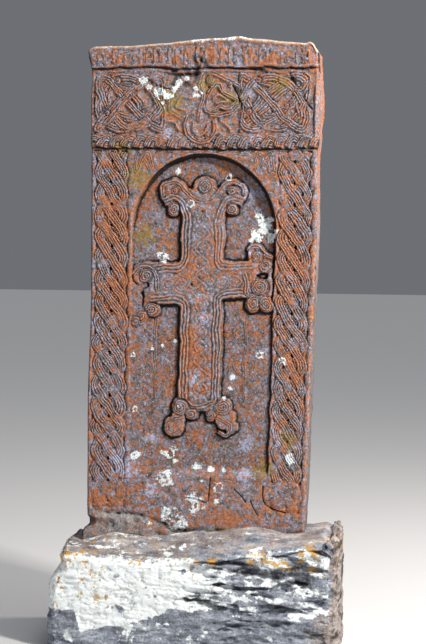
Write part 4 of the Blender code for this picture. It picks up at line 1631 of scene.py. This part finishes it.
@dataclass
class BaseRock:
    """The rough block that the slab stands in."""

    low: Vector
    high: Vector
    pitch: float
    most_triangles: int = 190_000
    left_height: float = 0.378
    dip_height: float = 0.348
    right_height: float = 0.438
    dip_x: float = -0.15
    front_drop: float = 0.030
    front_reach: float = 0.15
    # How far the top climbs towards the slab, and where the slab's front stands
    climb: float = 0.040
    climb_start: float = -0.235
    climb_end: float = -0.115
    back_drop: float = 0.050
    back_reach: float = 0.18
    # Splits along the beds: start and end across, height at each end, half opening
    splits: tuple[tuple[float, float, float, float, float], ...] = (
        (0.02, 0.24, 0.322, 0.296, 0.013),
        (0.12, 0.45, 0.282, 0.272, 0.024),
        (0.24, 0.43, 0.172, 0.160, 0.012),
        (-0.06, 0.16, 0.186, 0.164, 0.012),
        (0.06, 0.30, 0.240, 0.226, 0.008),
    )
    seed: int = 41

    def __post_init__(self) -> None:
        """Prepare the noise."""
        self.noise = Unevenness(self.seed)
        self.half_x = self.high.x
        self.half_y = self.high.y

    def box_points(self) -> tuple[Array, Array]:
        """A closed box of small square cells.

        Returns:
            Points from 0 to 1 on each axis, and the faces between them.
        """
        size = self.high - self.low
        counts = [max(4, int(length / self.pitch)) for length in size]
        points: list[Array] = []
        faces: list[Array] = []
        first = 0
        for axis in range(3):
            a, b = (axis + 1) % 3, (axis + 2) % 3
            for side in (0, 1):
                rows, columns = np.meshgrid(np.arange(counts[a] + 1), np.arange(counts[b] + 1), indexing="ij")
                cells = np.zeros((rows.size, 3), int)
                cells[:, a], cells[:, b] = rows.ravel(), columns.ravel()
                cells[:, axis] = side * counts[axis]
                index = first + np.arange(rows.size).reshape(rows.shape)
                quads = sheet_faces(index)
                faces.append(quads if side == 0 else quads[:, ::-1])
                points.append(cells)
                first += rows.size
        joined = np.concatenate(points)
        unique, place = np.unique(joined, axis=0, return_inverse=True)
        return unique / np.array(counts), place.reshape(-1)[np.concatenate(faces)]

    def bedded(
        self, points: Array, stretch: Sequence[float], shift: float, size: float, count: int = 4, keep: float = 0.6
    ) -> Array:
        """Noise that is drawn out along the rock's beds.

        Args:
            points: Places on the rock.
            stretch: How much each axis counts; less than 1 draws the noise out along it.
            shift: Moves the pattern, so that two of them differ.
            size: Width of its largest features, in metres.
            count: How many sizes of noise are added up, each half the last.
            keep: Strength of each size against the last.

        Returns:
            One value a point, of about -1 to 1.
        """
        return self.noise.layers(points * np.array(stretch) + shift, size, count, keep)

    def top_height(self, x: Array, y: Array) -> Array:
        """Height of the worn top: low left of the middle, rising to the right, lower to front and back.

        Args:
            x: Places across.
            y: Places from front to back.

        Returns:
            Heights of the top.
        """
        places = (-self.half_x, self.dip_x, self.half_x)
        height = np.interp(x, places, (self.left_height, self.dip_height, self.right_height))
        height -= self.front_drop * np.clip(1.0 - (self.half_y + y) / self.front_reach, 0.0, 1.0)
        middle = ease(x, -0.42, -0.28) * ease(x, 0.36, 0.20)
        height += self.climb * ease(y, self.climb_start, self.climb_end) * middle
        return height - self.back_drop * np.clip(1.0 - (self.half_y - y) / self.back_reach, 0.0, 1.0)

    def shape(self, unit: Array) -> Array:
        """Hew the box into the rough block.

        Args:
            unit: Points from 0 to 1 on each axis.

        Returns:
            Points in metres.
        """
        across, deep, up = unit[:, 0] * 2 - 1, unit[:, 1] * 2 - 1, unit[:, 2]
        shoulder = np.where(across < 0, 0.046 * ease(up, 0.58, 0.86), 0.004 * up)
        corner = 1.0 - 0.035 * np.abs(across * deep) ** 3
        x = across * (self.half_x - shoulder) * corner
        y = deep * (self.half_y - 0.010 * up) * corner
        z = up * self.top_height(x, y)
        points = np.stack([x, y, z], axis=1)
        outward = [np.sign(part) * (np.abs(part) > 0.999) for part in (across, deep)]
        outward = np.stack([*outward, (up > 0.999) * 1.0], axis=1)
        length = np.linalg.norm(outward, axis=1, keepdims=True)
        outward = outward / np.maximum(length, 1e-9)
        return self._hew(points, outward, up, across, deep)

    def _hew(self, points: Array, outward: Array, up: Array, across: Array, deep: Array) -> Array:
        """Round the edges, split the face along level beds and knock flakes off it.

        Args:
            points: The smooth points.
            outward: Way out of the block at each.
            up: How far up each is, from 0 to 1.
            across: How far across, from -1 to 1.
            deep: How far back, from -1 to 1.

        Returns:
            The hewn points.
        """
        from_edges = ((1.0 - np.abs(across)) * self.half_x, (1.0 - np.abs(deep)) * self.half_y, (1.0 - up) * 0.38)
        near = np.sort(np.stack(from_edges, axis=1), axis=1)[:, 1]
        broad = self.noise.layers(points, 0.30, 3, 0.5)
        blocky = self.bedded(points, (0.5, 0.8, 1.5), 0.0, 0.085, 4, 0.55)
        fine = self.noise.layers(points + 7.0, 0.030, 4, 0.66)
        split, right = self.beds(points)
        flakes = self.bedded(points, (0.35, 0.6, 1.6), 11.0, 0.060)
        sunk = 0.008 * np.abs(broad) + (0.006 + 0.012 * right) * ease(blocky, 0.0, -0.9) + 0.004 * np.abs(fine)
        sunk += (0.005 + 0.020 * right) * ease(flakes, 0.05, 0.50) + 0.024 * split
        rounding = 0.020 * ease(near + 0.012 * blocky, 0.030, 0.0)
        proud = 0.006 * ease(blocky, 0.1, 0.9) + 0.004 * fine
        move = proud - sunk - rounding
        level = outward[:, 2] > 0.5
        streaks = self.bedded(points, (0.25, 1.0, 1.0), 5.0, 0.035, 4, 0.62)
        fallen = 0.040 * ease(points[:, 0], 0.455, 0.515)
        move = np.where(level, 0.007 * streaks - 0.005 - rounding - fallen, move)
        shaped = points + outward * move[:, None]
        shaped[:, 2] = np.where(up < 0.001, 0.0, np.maximum(shaped[:, 2], 0.0))
        return shaped

    def beds(self, points: Array) -> tuple[Array, Array]:
        """The open beds that the rock has split along.

        Args:
            points: Places on the rock.

        Returns:
            How deep in a split each place is, from 0 to 1, and how far it is in the split right half.
        """
        x, _, z = points.T
        wander = self.bedded(points, (0.4, 0.4, 1.0), 31.0, 0.12)
        ragged = self.bedded(points, (0.5, 0.5, 1.0), 37.0, 0.035, 3)
        split = np.zeros(len(points))
        for start, end, low, high, half in self.splits:
            middle = low + (high - low) * np.clip((x - start) / (end - start), 0.0, 1.0)
            along = ease(x, start - 0.02, start + 0.05) * ease(x, end + 0.02, end - 0.05)
            away = np.abs(z - middle - 0.026 * wander)
            wide = half * np.maximum(1.0 + 1.3 * ragged, 0.15)
            split = np.maximum(split, along * ease(away / wide, 1.0, 0.2))
        return split, ease(x, -0.06, 0.06)

    def build(self) -> Piece:
        """Make the block's one closed mesh and dress it.

        Returns:
            The base stone.
        """
        unit, faces = self.box_points()
        points = self.shape(unit)
        piece = mesh_piece("base_rock", points, faces)
        thin_out(piece, self.most_triangles)
        self._paint(piece)
        unfold(piece, self._panels)
        return piece

    def _paint(self, piece: Piece) -> None:
        """Store where painted shade and crusts are, for the material.

        Args:
            piece: The block's mesh.
        """
        points = point_array(piece)
        x, y, z = points.T
        split, right = self.beds(points)
        flakes = self.bedded(points, (0.35, 0.6, 1.6), 11.0, 0.060)
        blocky = self.bedded(points, (0.5, 0.8, 1.5), 0.0, 0.085, 4, 0.55)
        # Painted shade in the splits, the flaked hollows, the low places between the blocks and over the right end.
        hollow = split + (0.15 + 0.40 * right) * ease(flakes, 0.10, 0.45) + 0.35 * ease(blocky, -0.35, -0.9)
        at_end = ease(x, self.half_x - 0.045, self.half_x - 0.020)
        layered = self.bedded(points, (1.0, 0.5, 2.4), 81.0, 0.06)
        hollow = hollow + at_end * (0.50 + 0.8 * ease(layered, -0.1, 0.4))
        paint(piece, "hollow", np.clip(hollow, 0.0, 1.3))
        spread = self.bedded(points, (0.6, 0.6, 1.0), 60.0, 0.14)
        edge = np.interp(x, (-0.53, -0.41, -0.39, -0.16, 0.0, 0.52), (0.140, 0.135, 0.060, 0.110, 0.150, 0.150))
        tattered = self.bedded(points, (0.6, 0.8, 1.0), 63.0, 0.045, 4, 0.62)
        loose = 0.010 + 0.045 * ease(x, -0.30, 0.0)
        high = ease(z + 0.02 * spread + loose * tattered, edge - 0.010, edge + 0.014)
        patches = self.bedded(points, (0.55, 0.8, 1.5), 65.0, 0.055, 3)
        holes = ease(self.noise.layers(points + 69.0, 0.060, 3, 0.55), 0.35, 0.75) * ease(x, -0.46, -0.10)
        whole = 0.86 + 0.30 * spread - 0.7 * holes
        broken = 0.60 + 0.42 * spread + 0.50 * patches
        crust = high * np.where(x < 0, whole * (1 - right) + broken * right, broken)
        crust = np.maximum(crust, 0.16 + 0.55 * spread + 0.30 * tattered)
        top = ease(z - self.top_height(x, y), -0.022, -0.010) * ease(y, -self.half_y + 0.01, -self.half_y + 0.05)
        grain = self.bedded(points, (0.22, 1.0, 1.0), 5.0, 0.022, 4, 0.62)
        crust = crust * (1 - 0.50 * top) + 0.45 * top * grain
        paint(piece, "white", np.clip(crust * (1 - 0.8 * at_end), 0.0, 1.2))
        low_right = ease(x, 0.34, 0.50) * ease(z, 0.22, 0.10)
        paint(piece, "brown", np.clip(0.55 * at_end + 0.45 * top + 0.5 * low_right, 0.0, 1.0))
        fleck = self.noise.layers(points + 90.0, 0.05, 3, 0.6)
        left_side = 0.46 * ease(x, -0.22, -0.34) * ease(z, 0.10, 0.20)
        rim = np.maximum(0.50 * ease(z, 0.25, 0.34) * (1 - 0.6 * top), left_side)
        paint(piece, "yellow", np.clip(0.60 * fleck + rim - 0.06, 0.0, 1.0))

    def _panels(self, points: Array, normals: Array) -> tuple[Array, Places]:
        """Lay the block's six sides out on the sheet.

        Args:
            points: Corner or face positions.
            normals: Normals of the faces they belong to.

        Returns:
            The panel each belongs to, and its place on every panel.
        """
        wide = (self.high.x - self.low.x) + 0.06
        x, y, z = points.T
        across = (x - self.low.x + 0.02) / wide
        deep = (y - self.low.y + 0.02) / wide
        up = (z + 0.01) / wide
        side = 0.46
        places = (
            (across * 0.99, up),
            (side * across, 0.50 + side * up),
            (0.50 + side * deep, 0.50 + side * up),
            (0.75 + side * deep, 0.50 + side * up),
            (across * 0.62, 0.73 + 0.5 * deep),
            (0.64 + 0.34 * across, 0.73 + 0.34 * deep),
        )
        return side_of(normals), places


def add_node(
    tree: bpy.types.NodeTree,
    kind: str,
    settings: dict[str | int, Any] | None = None,
    links: dict[str | int, Socket] | None = None,
) -> bpy.types.Node:
    """Add one node, set it up and link its inputs.

    Args:
        tree: The material's node tree.
        kind: The node's type, without the leading "ShaderNode".
        settings: Values for its properties by name, or for its input sockets by name or number.
        links: For each input socket, the output that feeds it.

    Returns:
        The node.
    """
    node = tree.nodes.new("ShaderNode" + kind)
    for name, value in (settings or {}).items():
        if isinstance(name, str) and hasattr(node, name):
            setattr(node, name, value)
        else:
            node.inputs[name].default_value = value
    for name, source in (links or {}).items():
        tree.links.new(source, node.inputs[name])
    return node


@dataclass(frozen=True)
class Cloud:
    """Noise in the stone: width of its largest features in metres, finer sizes added, and how it is moved."""

    size: float
    detail: float
    rough: float = 0.6
    shift: float = 0.0
    stretch: tuple[float, float, float] = (1.0, 1.0, 1.0)


Source = str | Cloud | Socket
Sum = Sequence[tuple[Source, float]]
Stops = Sequence[tuple[float, str]]


class Recipe:
    """A stone material under construction: bare stone, and the coats that lie over it one by one."""

    def __init__(self, name: str) -> None:
        """Make the material with its shader and its place in the stone.

        Args:
            name: The material's name.
        """
        self.material = bpy.data.materials.new(name)
        self.material.use_nodes = True
        self.tree = self.material.node_tree
        self.shader = self.tree.nodes["Principled BSDF"]
        self.place = add_node(self.tree, "TexCoord").outputs["Object"]
        self.colour: Socket | None = None

    def read(self, source: Source) -> Socket:
        """Find the output that gives a source's value.

        Args:
            source: The name of a map painted on the mesh, a cloud, or an output that is already there.

        Returns:
            The output.
        """
        if isinstance(source, str):
            return add_node(self.tree, "Attribute", {"attribute_name": source}).outputs["Fac"]
        if isinstance(source, Cloud):
            moves = {"operation": "MULTIPLY_ADD", 1: source.stretch, 2: (source.shift,) * 3}
            moved = add_node(self.tree, "VectorMath", moves, {0: self.place}).outputs[0]
            settings = {"Scale": 1.0 / source.size, "Detail": source.detail, "Roughness": source.rough}
            return add_node(self.tree, "TexNoise", settings, {"Vector": moved}).outputs["Fac"]
        return source

    def total(self, parts: Sum) -> Socket:
        """Add sources up.

        Args:
            parts: Each source with its weight.

        Returns:
            The sum.
        """
        (first, gain), *others = parts
        value = self.read(first)
        if gain != 1.0:
            value = add_node(self.tree, "Math", {"operation": "MULTIPLY", 1: gain}, {0: value}).outputs[0]
        for source, gain in others:
            settings = {"operation": "MULTIPLY_ADD", 1: gain}
            value = add_node(self.tree, "Math", settings, {0: self.read(source), 2: value}).outputs[0]
        return value

    def shade(self, along: Sum, stops: Stops) -> Socket:
        """Colours along a sum.

        Args:
            along: What the colours follow.
            stops: Pairs of a value and an sRGB hex colour, rising.

        Returns:
            The colour.
        """
        ramp = add_node(self.tree, "ValToRGB", links={0: self.total(along)})
        elements = ramp.color_ramp.elements
        while len(elements) < len(stops):
            elements.new(0.5)
        for element, (place, colour) in zip(elements, stops):
            element.position = place
            element.color = linear(colour)
        return ramp.outputs[0]

    def coat(self, where: Sum, start: float, end: float, most: float, over: Socket | str) -> None:
        """Lay a coat over what is there, where a sum passes from start to end.

        Args:
            where: The sum that places the coat.
            start: Value at which the coat begins.
            end: Value at which it is full.
            most: How much a full coat covers, from 0 to 1.
            over: The coat's colour: an output, or an sRGB hex colour.
        """
        edge = {"interpolation_type": "SMOOTHSTEP", "From Min": start, "From Max": end, "To Max": most}
        share = add_node(self.tree, "MapRange", edge, {"Value": self.total(where)}).outputs[0]
        settings: dict[str | int, Any] = {"data_type": "RGBA", "blend_type": "MIX"}
        links = {0: share, 6: self.colour}
        if isinstance(over, str):
            settings[7] = linear(over)
        else:
            links[7] = over
        self.colour = add_node(self.tree, "Mix", settings, links).outputs[2]

    def finish(self, bump: Sum, bump_height: float, roughness: float, specular: float) -> Material:
        """Join colour and bump to the shader.

        Args:
            bump: The sum that raises the surface.
            bump_height: How far a rise of 1 stands out, in metres.
            roughness: The shader's roughness.
            specular: The shader's specular level.

        Returns:
            The finished material.
        """
        heights = {"Strength": 1.0, "Distance": bump_height}
        raised = add_node(self.tree, "Bump", heights, {"Height": self.total(bump)})
        self.tree.links.new(self.colour, self.shader.inputs["Base Color"])
        self.tree.links.new(raised.outputs["Normal"], self.shader.inputs["Normal"])
        self.shader.inputs["Roughness"].default_value = roughness
        self.shader.inputs["Specular IOR Level"].default_value = specular
        return self.material


@dataclass(frozen=True)
class LichenedTuff:
    """Volcanic tuff, carved with a point and a claw chisel and then left to weather and lichens.

    It looks dry and mealy: mauve-grey stone under crusts of rust-orange lichen in ragged patches of 6 to
    15 mm, with yellow, blue-grey and white crusts among them. Painted shade darkens the hollows and the cuts
    between the cords, painted shadow lies in dark lines under the top band and the rope, and a painted
    highlight runs along the top edge.
    """

    stone_dark: str = "#3a2f2a"
    stone_mid: str = "#5b504b"
    stone_light: str = "#787177"
    stone_pale: str = "#918d9c"
    rust_dark: str = "#6d3f2a"
    rust_mid: str = "#a5613b"
    rust_light: str = "#cd8a58"
    ochre: str = "#a58a3f"
    ochre_dark: str = "#6a5a32"
    bloom: str = "#aeb8d6"
    rubbed: str = "#bfb0ac"
    painted_highlight: str = "#e6d3b8"
    white: str = "#eaf4f8"
    white_shade: str = "#9aa399"
    painted_shade: str = "#1a1412"
    dark_marks_and_painted_shadow: str = "#2d2b2c"
    foot_dark: str = "#4b4643"
    foot_grey: str = "#77706b"
    foot_pale: str = "#98918b"
    patch: float = mm(15)
    grain: float = mm(3.6)

    def make(self) -> Material:
        """Build the material.

        Returns:
            The material.
        """
        stone = Recipe("lichened_tuff")
        tree = stone.tree
        # The cords: a cosine across each ribbon, 1 along a cord's back and -1 in the cut between two.
        turned = stone.total((("cord", 2 * math.pi),))
        wave = add_node(tree, "Math", {"operation": "COSINE"}, {0: turned}).outputs[0]
        cords = add_node(tree, "Math", {"operation": "MULTIPLY"}, {0: wave, 1: stone.read("lined")}).outputs[0]
        # Bare stone, mottled mauve, brown and grey; greyer where it was never dressed.
        body = stone.total(((Cloud(mm(26), 5.0, 0.68), 1 / 1.2), (Cloud(mm(8), 3.0, 0.7, 3.0), 0.8 / 1.2)))
        bare = ((0.62, self.stone_dark), (0.80, self.stone_mid), (0.95, self.stone_light), (1.08, self.stone_pale))
        stone.colour = stone.shade(((body, 1.0),), [(place / 1.2, shade) for place, shade in bare])
        rough = ((0.52, self.foot_dark), (0.68, self.foot_grey), (0.84, self.foot_pale))
        stone.coat((("undressed", 1.0),), 0.3, 0.8, 0.85, stone.shade(((body, 1.0),), rough))
        # Lavender-grey bloom: a paint-thin crust that follows the grain.
        stone.coat(((Cloud(mm(8), 4.0, 0.78, 9.0), 1.0), ("bloom", 0.17)), 0.50, 0.66, 0.85, self.bloom)
        # Rust-orange crusts in ragged speckles, densest on what stands proud and catches light.
        rusts = ((0.36, self.rust_dark), (0.50, self.rust_mid), (0.66, self.rust_light))
        rust = stone.shade(((Cloud(mm(8), 5.0, 0.75, 41.0), 1.0),), rusts)
        spread: Sum = (
            (Cloud(self.patch, 4.0, 0.64, 21.0), 1.0), (Cloud(mm(110), 4.0, 0.6, 33.0), 0.45), ("rust", 0.15),
            ("proud", 0.05), (cords, 0.03), ("undressed", -0.07),
        )
        stone.coat(spread, 0.700, 0.815, 0.86, rust)
        ochres = ((0.38, self.ochre_dark), (0.60, self.ochre))
        ochre = stone.shade(((Cloud(mm(7), 4.0, 0.75, 57.0), 1.0),), ochres)
        stone.coat(((Cloud(mm(10), 4.0, 0.78, 51.0), 1.0), ("yellow", 0.20)), 0.52, 0.68, 0.72, ochre)
        # Ridges are made paler, with a painted highlight along the top edge; painted shade darkens the cuts
        # between the cords, the hollows and the side of raised carving away from the key light.
        backs = {"interpolation_type": "SMOOTHSTEP", "From Min": 0.1, "From Max": 0.9}
        ridge = add_node(tree, "MapRange", backs, {"Value": cords}).outputs[0]
        stone.coat(((ridge, 1.0), ("proud", 0.5)), 0.2, 1.3, 0.26, self.rubbed)
        # Painted highlight: cream along the top edge and on the most raised ridges.
        stone.coat(((Cloud(mm(14), 4.0, 0.7, 45.0), 1.0), ("proud", 0.9)), 1.42, 1.85, 0.66, self.painted_highlight)
        stone.coat(((cords, -1.0),), 0.25, 0.95, 0.72, self.painted_shade)
        stone.coat((("hollow", 1.0), (Cloud(mm(9), 4.0, 0.7, 63.0), 0.45)), 0.28, 1.0, 0.95, self.painted_shade)
        # Painted shadow in dark lines under the top band and the rope, with dark marks round the broken places and the
        # foot's left corner.
        stone.coat((("dark_marks_and_painted_shadow", 1.0), (Cloud(mm(14), 5.0, 0.75, 67.0), 0.5)), 0.50, 1.05, 0.80, self.dark_marks_and_painted_shadow)
        # White crusts are thick and broken, with a shaded grain of their own.
        whites = ((0.38, self.white_shade), (0.52, self.white))
        crust = stone.shade(((Cloud(mm(7), 4.0, 0.75, 83.0), 1.0),), whites)
        crumbs = ((Cloud(mm(6), 4.0, 0.80, 71.0), 1.0), (Cloud(mm(13), 5.0, 0.78, 75.0), 0.8), ("white", 0.50))
        stone.coat(crumbs, 1.17, 1.25, 0.95, crust)
        # Bump: the cords again, so that they stay crisp, over the stone's own grain.
        grain = ((Cloud(mm(10), 4.0, 0.7, 6.0), 1.0), (Cloud(self.grain, 3.0, 0.7, 5.0), 0.5), (cords, 0.55))
        return stone.finish(grain, mm(1.8), 0.92, 0.25)


@dataclass(frozen=True)
class CrustedBaseRock:
    """Undressed grey rock, split along its beds and never smoothed, under thick white crust lichen.

    It looks cold and chalky on the left, where the crust is nearly whole, and blue-grey elsewhere, with
    painted shade in its fissures and over its right end, and egg-yellow flecks of lichen along the upper edge.
    """

    rock_dark: str = "#3d4046"
    rock_mid: str = "#6f757f"
    rock_light: str = "#959ca8"
    rock_pale: str = "#c3c9d0"
    white: str = "#f6fcfc"
    white_shade: str = "#a9b4ad"
    yellow: str = "#c9983c"
    painted_shade: str = "#1d1b1b"
    tan_dark: str = "#5a4c45"
    tan: str = "#93837a"
    tan_pale: str = "#c2b6a8"

    def make(self) -> Material:
        """Build the material.

        Returns:
            The material.
        """
        rock = Recipe("crusted_base_rock")
        # Blue-grey rock, drawn out level along its beds, and stained tan at its broken end.
        streaks = rock.read(Cloud(mm(34), 7.0, 0.68, 0.0, (0.45, 0.6, 1.5)))
        body = rock.total(((streaks, 1 / 1.1), (Cloud(mm(7), 4.0, 0.7, 4.0), 0.6 / 1.1)))
        greys = ((0.50, self.rock_dark), (0.66, self.rock_mid), (0.78, self.rock_light), (0.92, self.rock_pale))
        rock.colour = rock.shade(((body, 1.0),), greys)
        tans = ((0.52, self.tan_dark), (0.70, self.tan), (0.88, self.tan_pale))
        stained = ((Cloud(mm(60), 5.0, 0.7, 13.0), 1.0), ("brown", 0.75))
        rock.coat(stained, 0.66, 0.90, 0.75, rock.shade(((body, 1.0),), tans))
        # Thick white crust, broken into scales; it thins over the splits.
        scales = ((Cloud(mm(11), 5.0, 0.72, 31.0), 1.0), (Cloud(mm(38), 4.0, 0.62, 35.0), 0.7))
        crust = rock.shade(scales, ((0.62, self.white_shade), (0.80, self.white)))
        edge: Sum = (
            (Cloud(mm(34), 6.0, 0.70, 27.0), 1.0), (Cloud(mm(10), 5.0, 0.75, 23.0), 0.5), ("white", 0.75),
            ("hollow", -0.22),
        )
        rock.coat(edge, 1.10, 1.24, 0.97, crust)
        # Painted shade in the splits and hollows and over the right end.
        rock.coat(((Cloud(mm(12), 4.0, 0.7, 37.0), 1.0), ("hollow", 0.8)), 0.78, 1.55, 0.86, self.painted_shade)
        rock.coat(((Cloud(mm(14), 4.0, 0.72, 43.0), 1.0), ("yellow", 0.55)), 0.80, 0.88, 0.88, self.yellow)
        return rock.finish(((streaks, 1.0), (Cloud(mm(5), 4.0, 0.75, 5.0), 0.5)), mm(6), 0.9, 0.3)


@dataclass(frozen=True)
class StudioPaper:
    """Matt seamless background paper, pale grey."""

    colour: str = "#d2d2d2"

    def make(self) -> Material:
        """Build the material.

        Returns:
            The material.
        """
        made = bpy.data.materials.new("studio_paper")
        made.use_nodes = True
        shader = made.node_tree.nodes["Principled BSDF"]
        shader.inputs["Base Color"].default_value = linear(self.colour)
        shader.inputs["Roughness"].default_value = 0.95
        return made


@dataclass
class Studio:
    """Floor, lights and camera."""

    aim: Vector
    azimuth: float = 7.37
    elevation: float = 3.38
    roll: float = 0.50
    distance: float = 6.167
    frame_height: float = 2.318
    sensor: float = 36.0

    def lay_floor(self) -> Piece:
        """A wide plain paper floor, with nothing standing behind the stone.

        Returns:
            The floor.
        """
        reach = np.linspace(-30.0, 30.0, 3)
        points = np.array([(x, y, -mm(0.5)) for y in reach for x in reach])
        index = np.arange(len(points)).reshape(-1, len(reach))
        floor = mesh_piece("paper_floor", points, sheet_faces(index))
        floor.data.materials.append(StudioPaper().make())
        return floor

    def add_light(self, name: str, place: Sequence[float], size: float, power: float, colour: str) -> None:
        """Hang a square soft box that faces the stone.

        Args:
            name: The light's name.
            place: Where it hangs.
            size: Its width in metres.
            power: Its power in watts.
            colour: Its sRGB colour.
        """
        lamp = bpy.data.lights.new(name, "AREA")
        lamp.shape = "SQUARE"
        lamp.size = size
        lamp.energy = power
        lamp.color = linear(colour)[:3]
        holder = bpy.data.objects.new(name, lamp)
        bpy.context.scene.collection.objects.link(holder)
        holder.location = place
        holder.rotation_euler = (self.aim - Vector(place)).to_track_quat("-Z", "Y").to_euler()

    def add_sky(self) -> None:
        """Light everything evenly from above, with a wide soft sun a little to the right."""
        lamp = bpy.data.lights.new("overhead", "SUN")
        lamp.energy = 0.90
        lamp.angle = math.radians(35)
        holder = bpy.data.objects.new("overhead", lamp)
        bpy.context.scene.collection.objects.link(holder)
        holder.rotation_euler = Vector((-0.30, 0.10, -1.0)).to_track_quat("-Z", "Y").to_euler()

    def light(self) -> None:
        """A small key high on the right, a weak fill on the left, and a dim even surround."""
        self.add_light("key", (3.7, -2.75, 4.2), 0.6, 430.0, "#fffaf4")
        self.add_light("fill", (-3.4, -4.4, 1.8), 3.0, 24.0, "#e4ebff")
        self.add_light("rim", (3.6, 1.0, 3.2), 1.0, 120.0, "#fff6f0")
        self.add_sky()
        world = bpy.data.worlds.new("surround")
        world.use_nodes = True
        background = world.node_tree.nodes["Background"]
        background.inputs[0].default_value = linear("#e2e7f0")
        background.inputs[1].default_value = 0.20
        bpy.context.scene.world = world

    def set_camera(self) -> None:
        """Stand the camera a little to the right, at eye height, looking slightly down."""
        azimuth, elevation, roll = map(math.radians, (self.azimuth, self.elevation, self.roll))
        level = Vector((math.cos(azimuth), math.sin(azimuth), 0.0))
        flat = math.cos(elevation)
        back = Vector((math.sin(azimuth) * flat, -math.cos(azimuth) * flat, math.sin(elevation)))
        upright = back.cross(level)
        right = level * math.cos(roll) + upright * math.sin(roll)
        above = upright * math.cos(roll) - level * math.sin(roll)
        data = bpy.data.cameras.new("camera")
        data.sensor_width = self.sensor
        data.lens = self.sensor * self.distance / self.frame_height
        data.clip_end = 60.0
        camera = bpy.data.objects.new("camera", data)
        bpy.context.scene.collection.objects.link(camera)
        turned = Matrix((right, above, back)).transposed().to_4x4()
        camera.matrix_world = Matrix.Translation(self.aim + back * self.distance) @ turned
        bpy.context.scene.camera = camera


def dress(piece: Piece, material: Material, node: str) -> None:
    """Give a piece its finish and let it stand for its CAD node.

    Args:
        piece: The finished mesh.
        material: Its material.
        node: The CAD node it replaces.
    """
    piece.data.materials.append(material)
    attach(piece, "root")
    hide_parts(node)
    LOG.info("%s: %d triangles, for %s", piece.name, len(piece.data.polygons), node)


def main() -> None:
    """Build the slab, the base and the studio in turn."""
    logging.basicConfig(level=logging.INFO, format="%(name)s: %(message)s")
    bpy.context.scene.view_settings.view_transform = "Standard"
    slab_low, slab_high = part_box("carved_slab")
    base_low, base_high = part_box("base_stone")
    fine = mm(2.2)
    slab = CarvedSlab(slab_low, slab_high, fine)
    dress(slab.build(), LichenedTuff().make(), "carved_slab")
    base = BaseRock(base_low, base_high, mm(4.2))
    dress(base.build(), CrustedBaseRock().make(), "base_stone")
    studio = Studio(aim=Vector((0.044, 0.0, 1.151)))
    studio.lay_floor()
    studio.light()
    studio.set_camera()


if __name__ == "__main__":
    main()
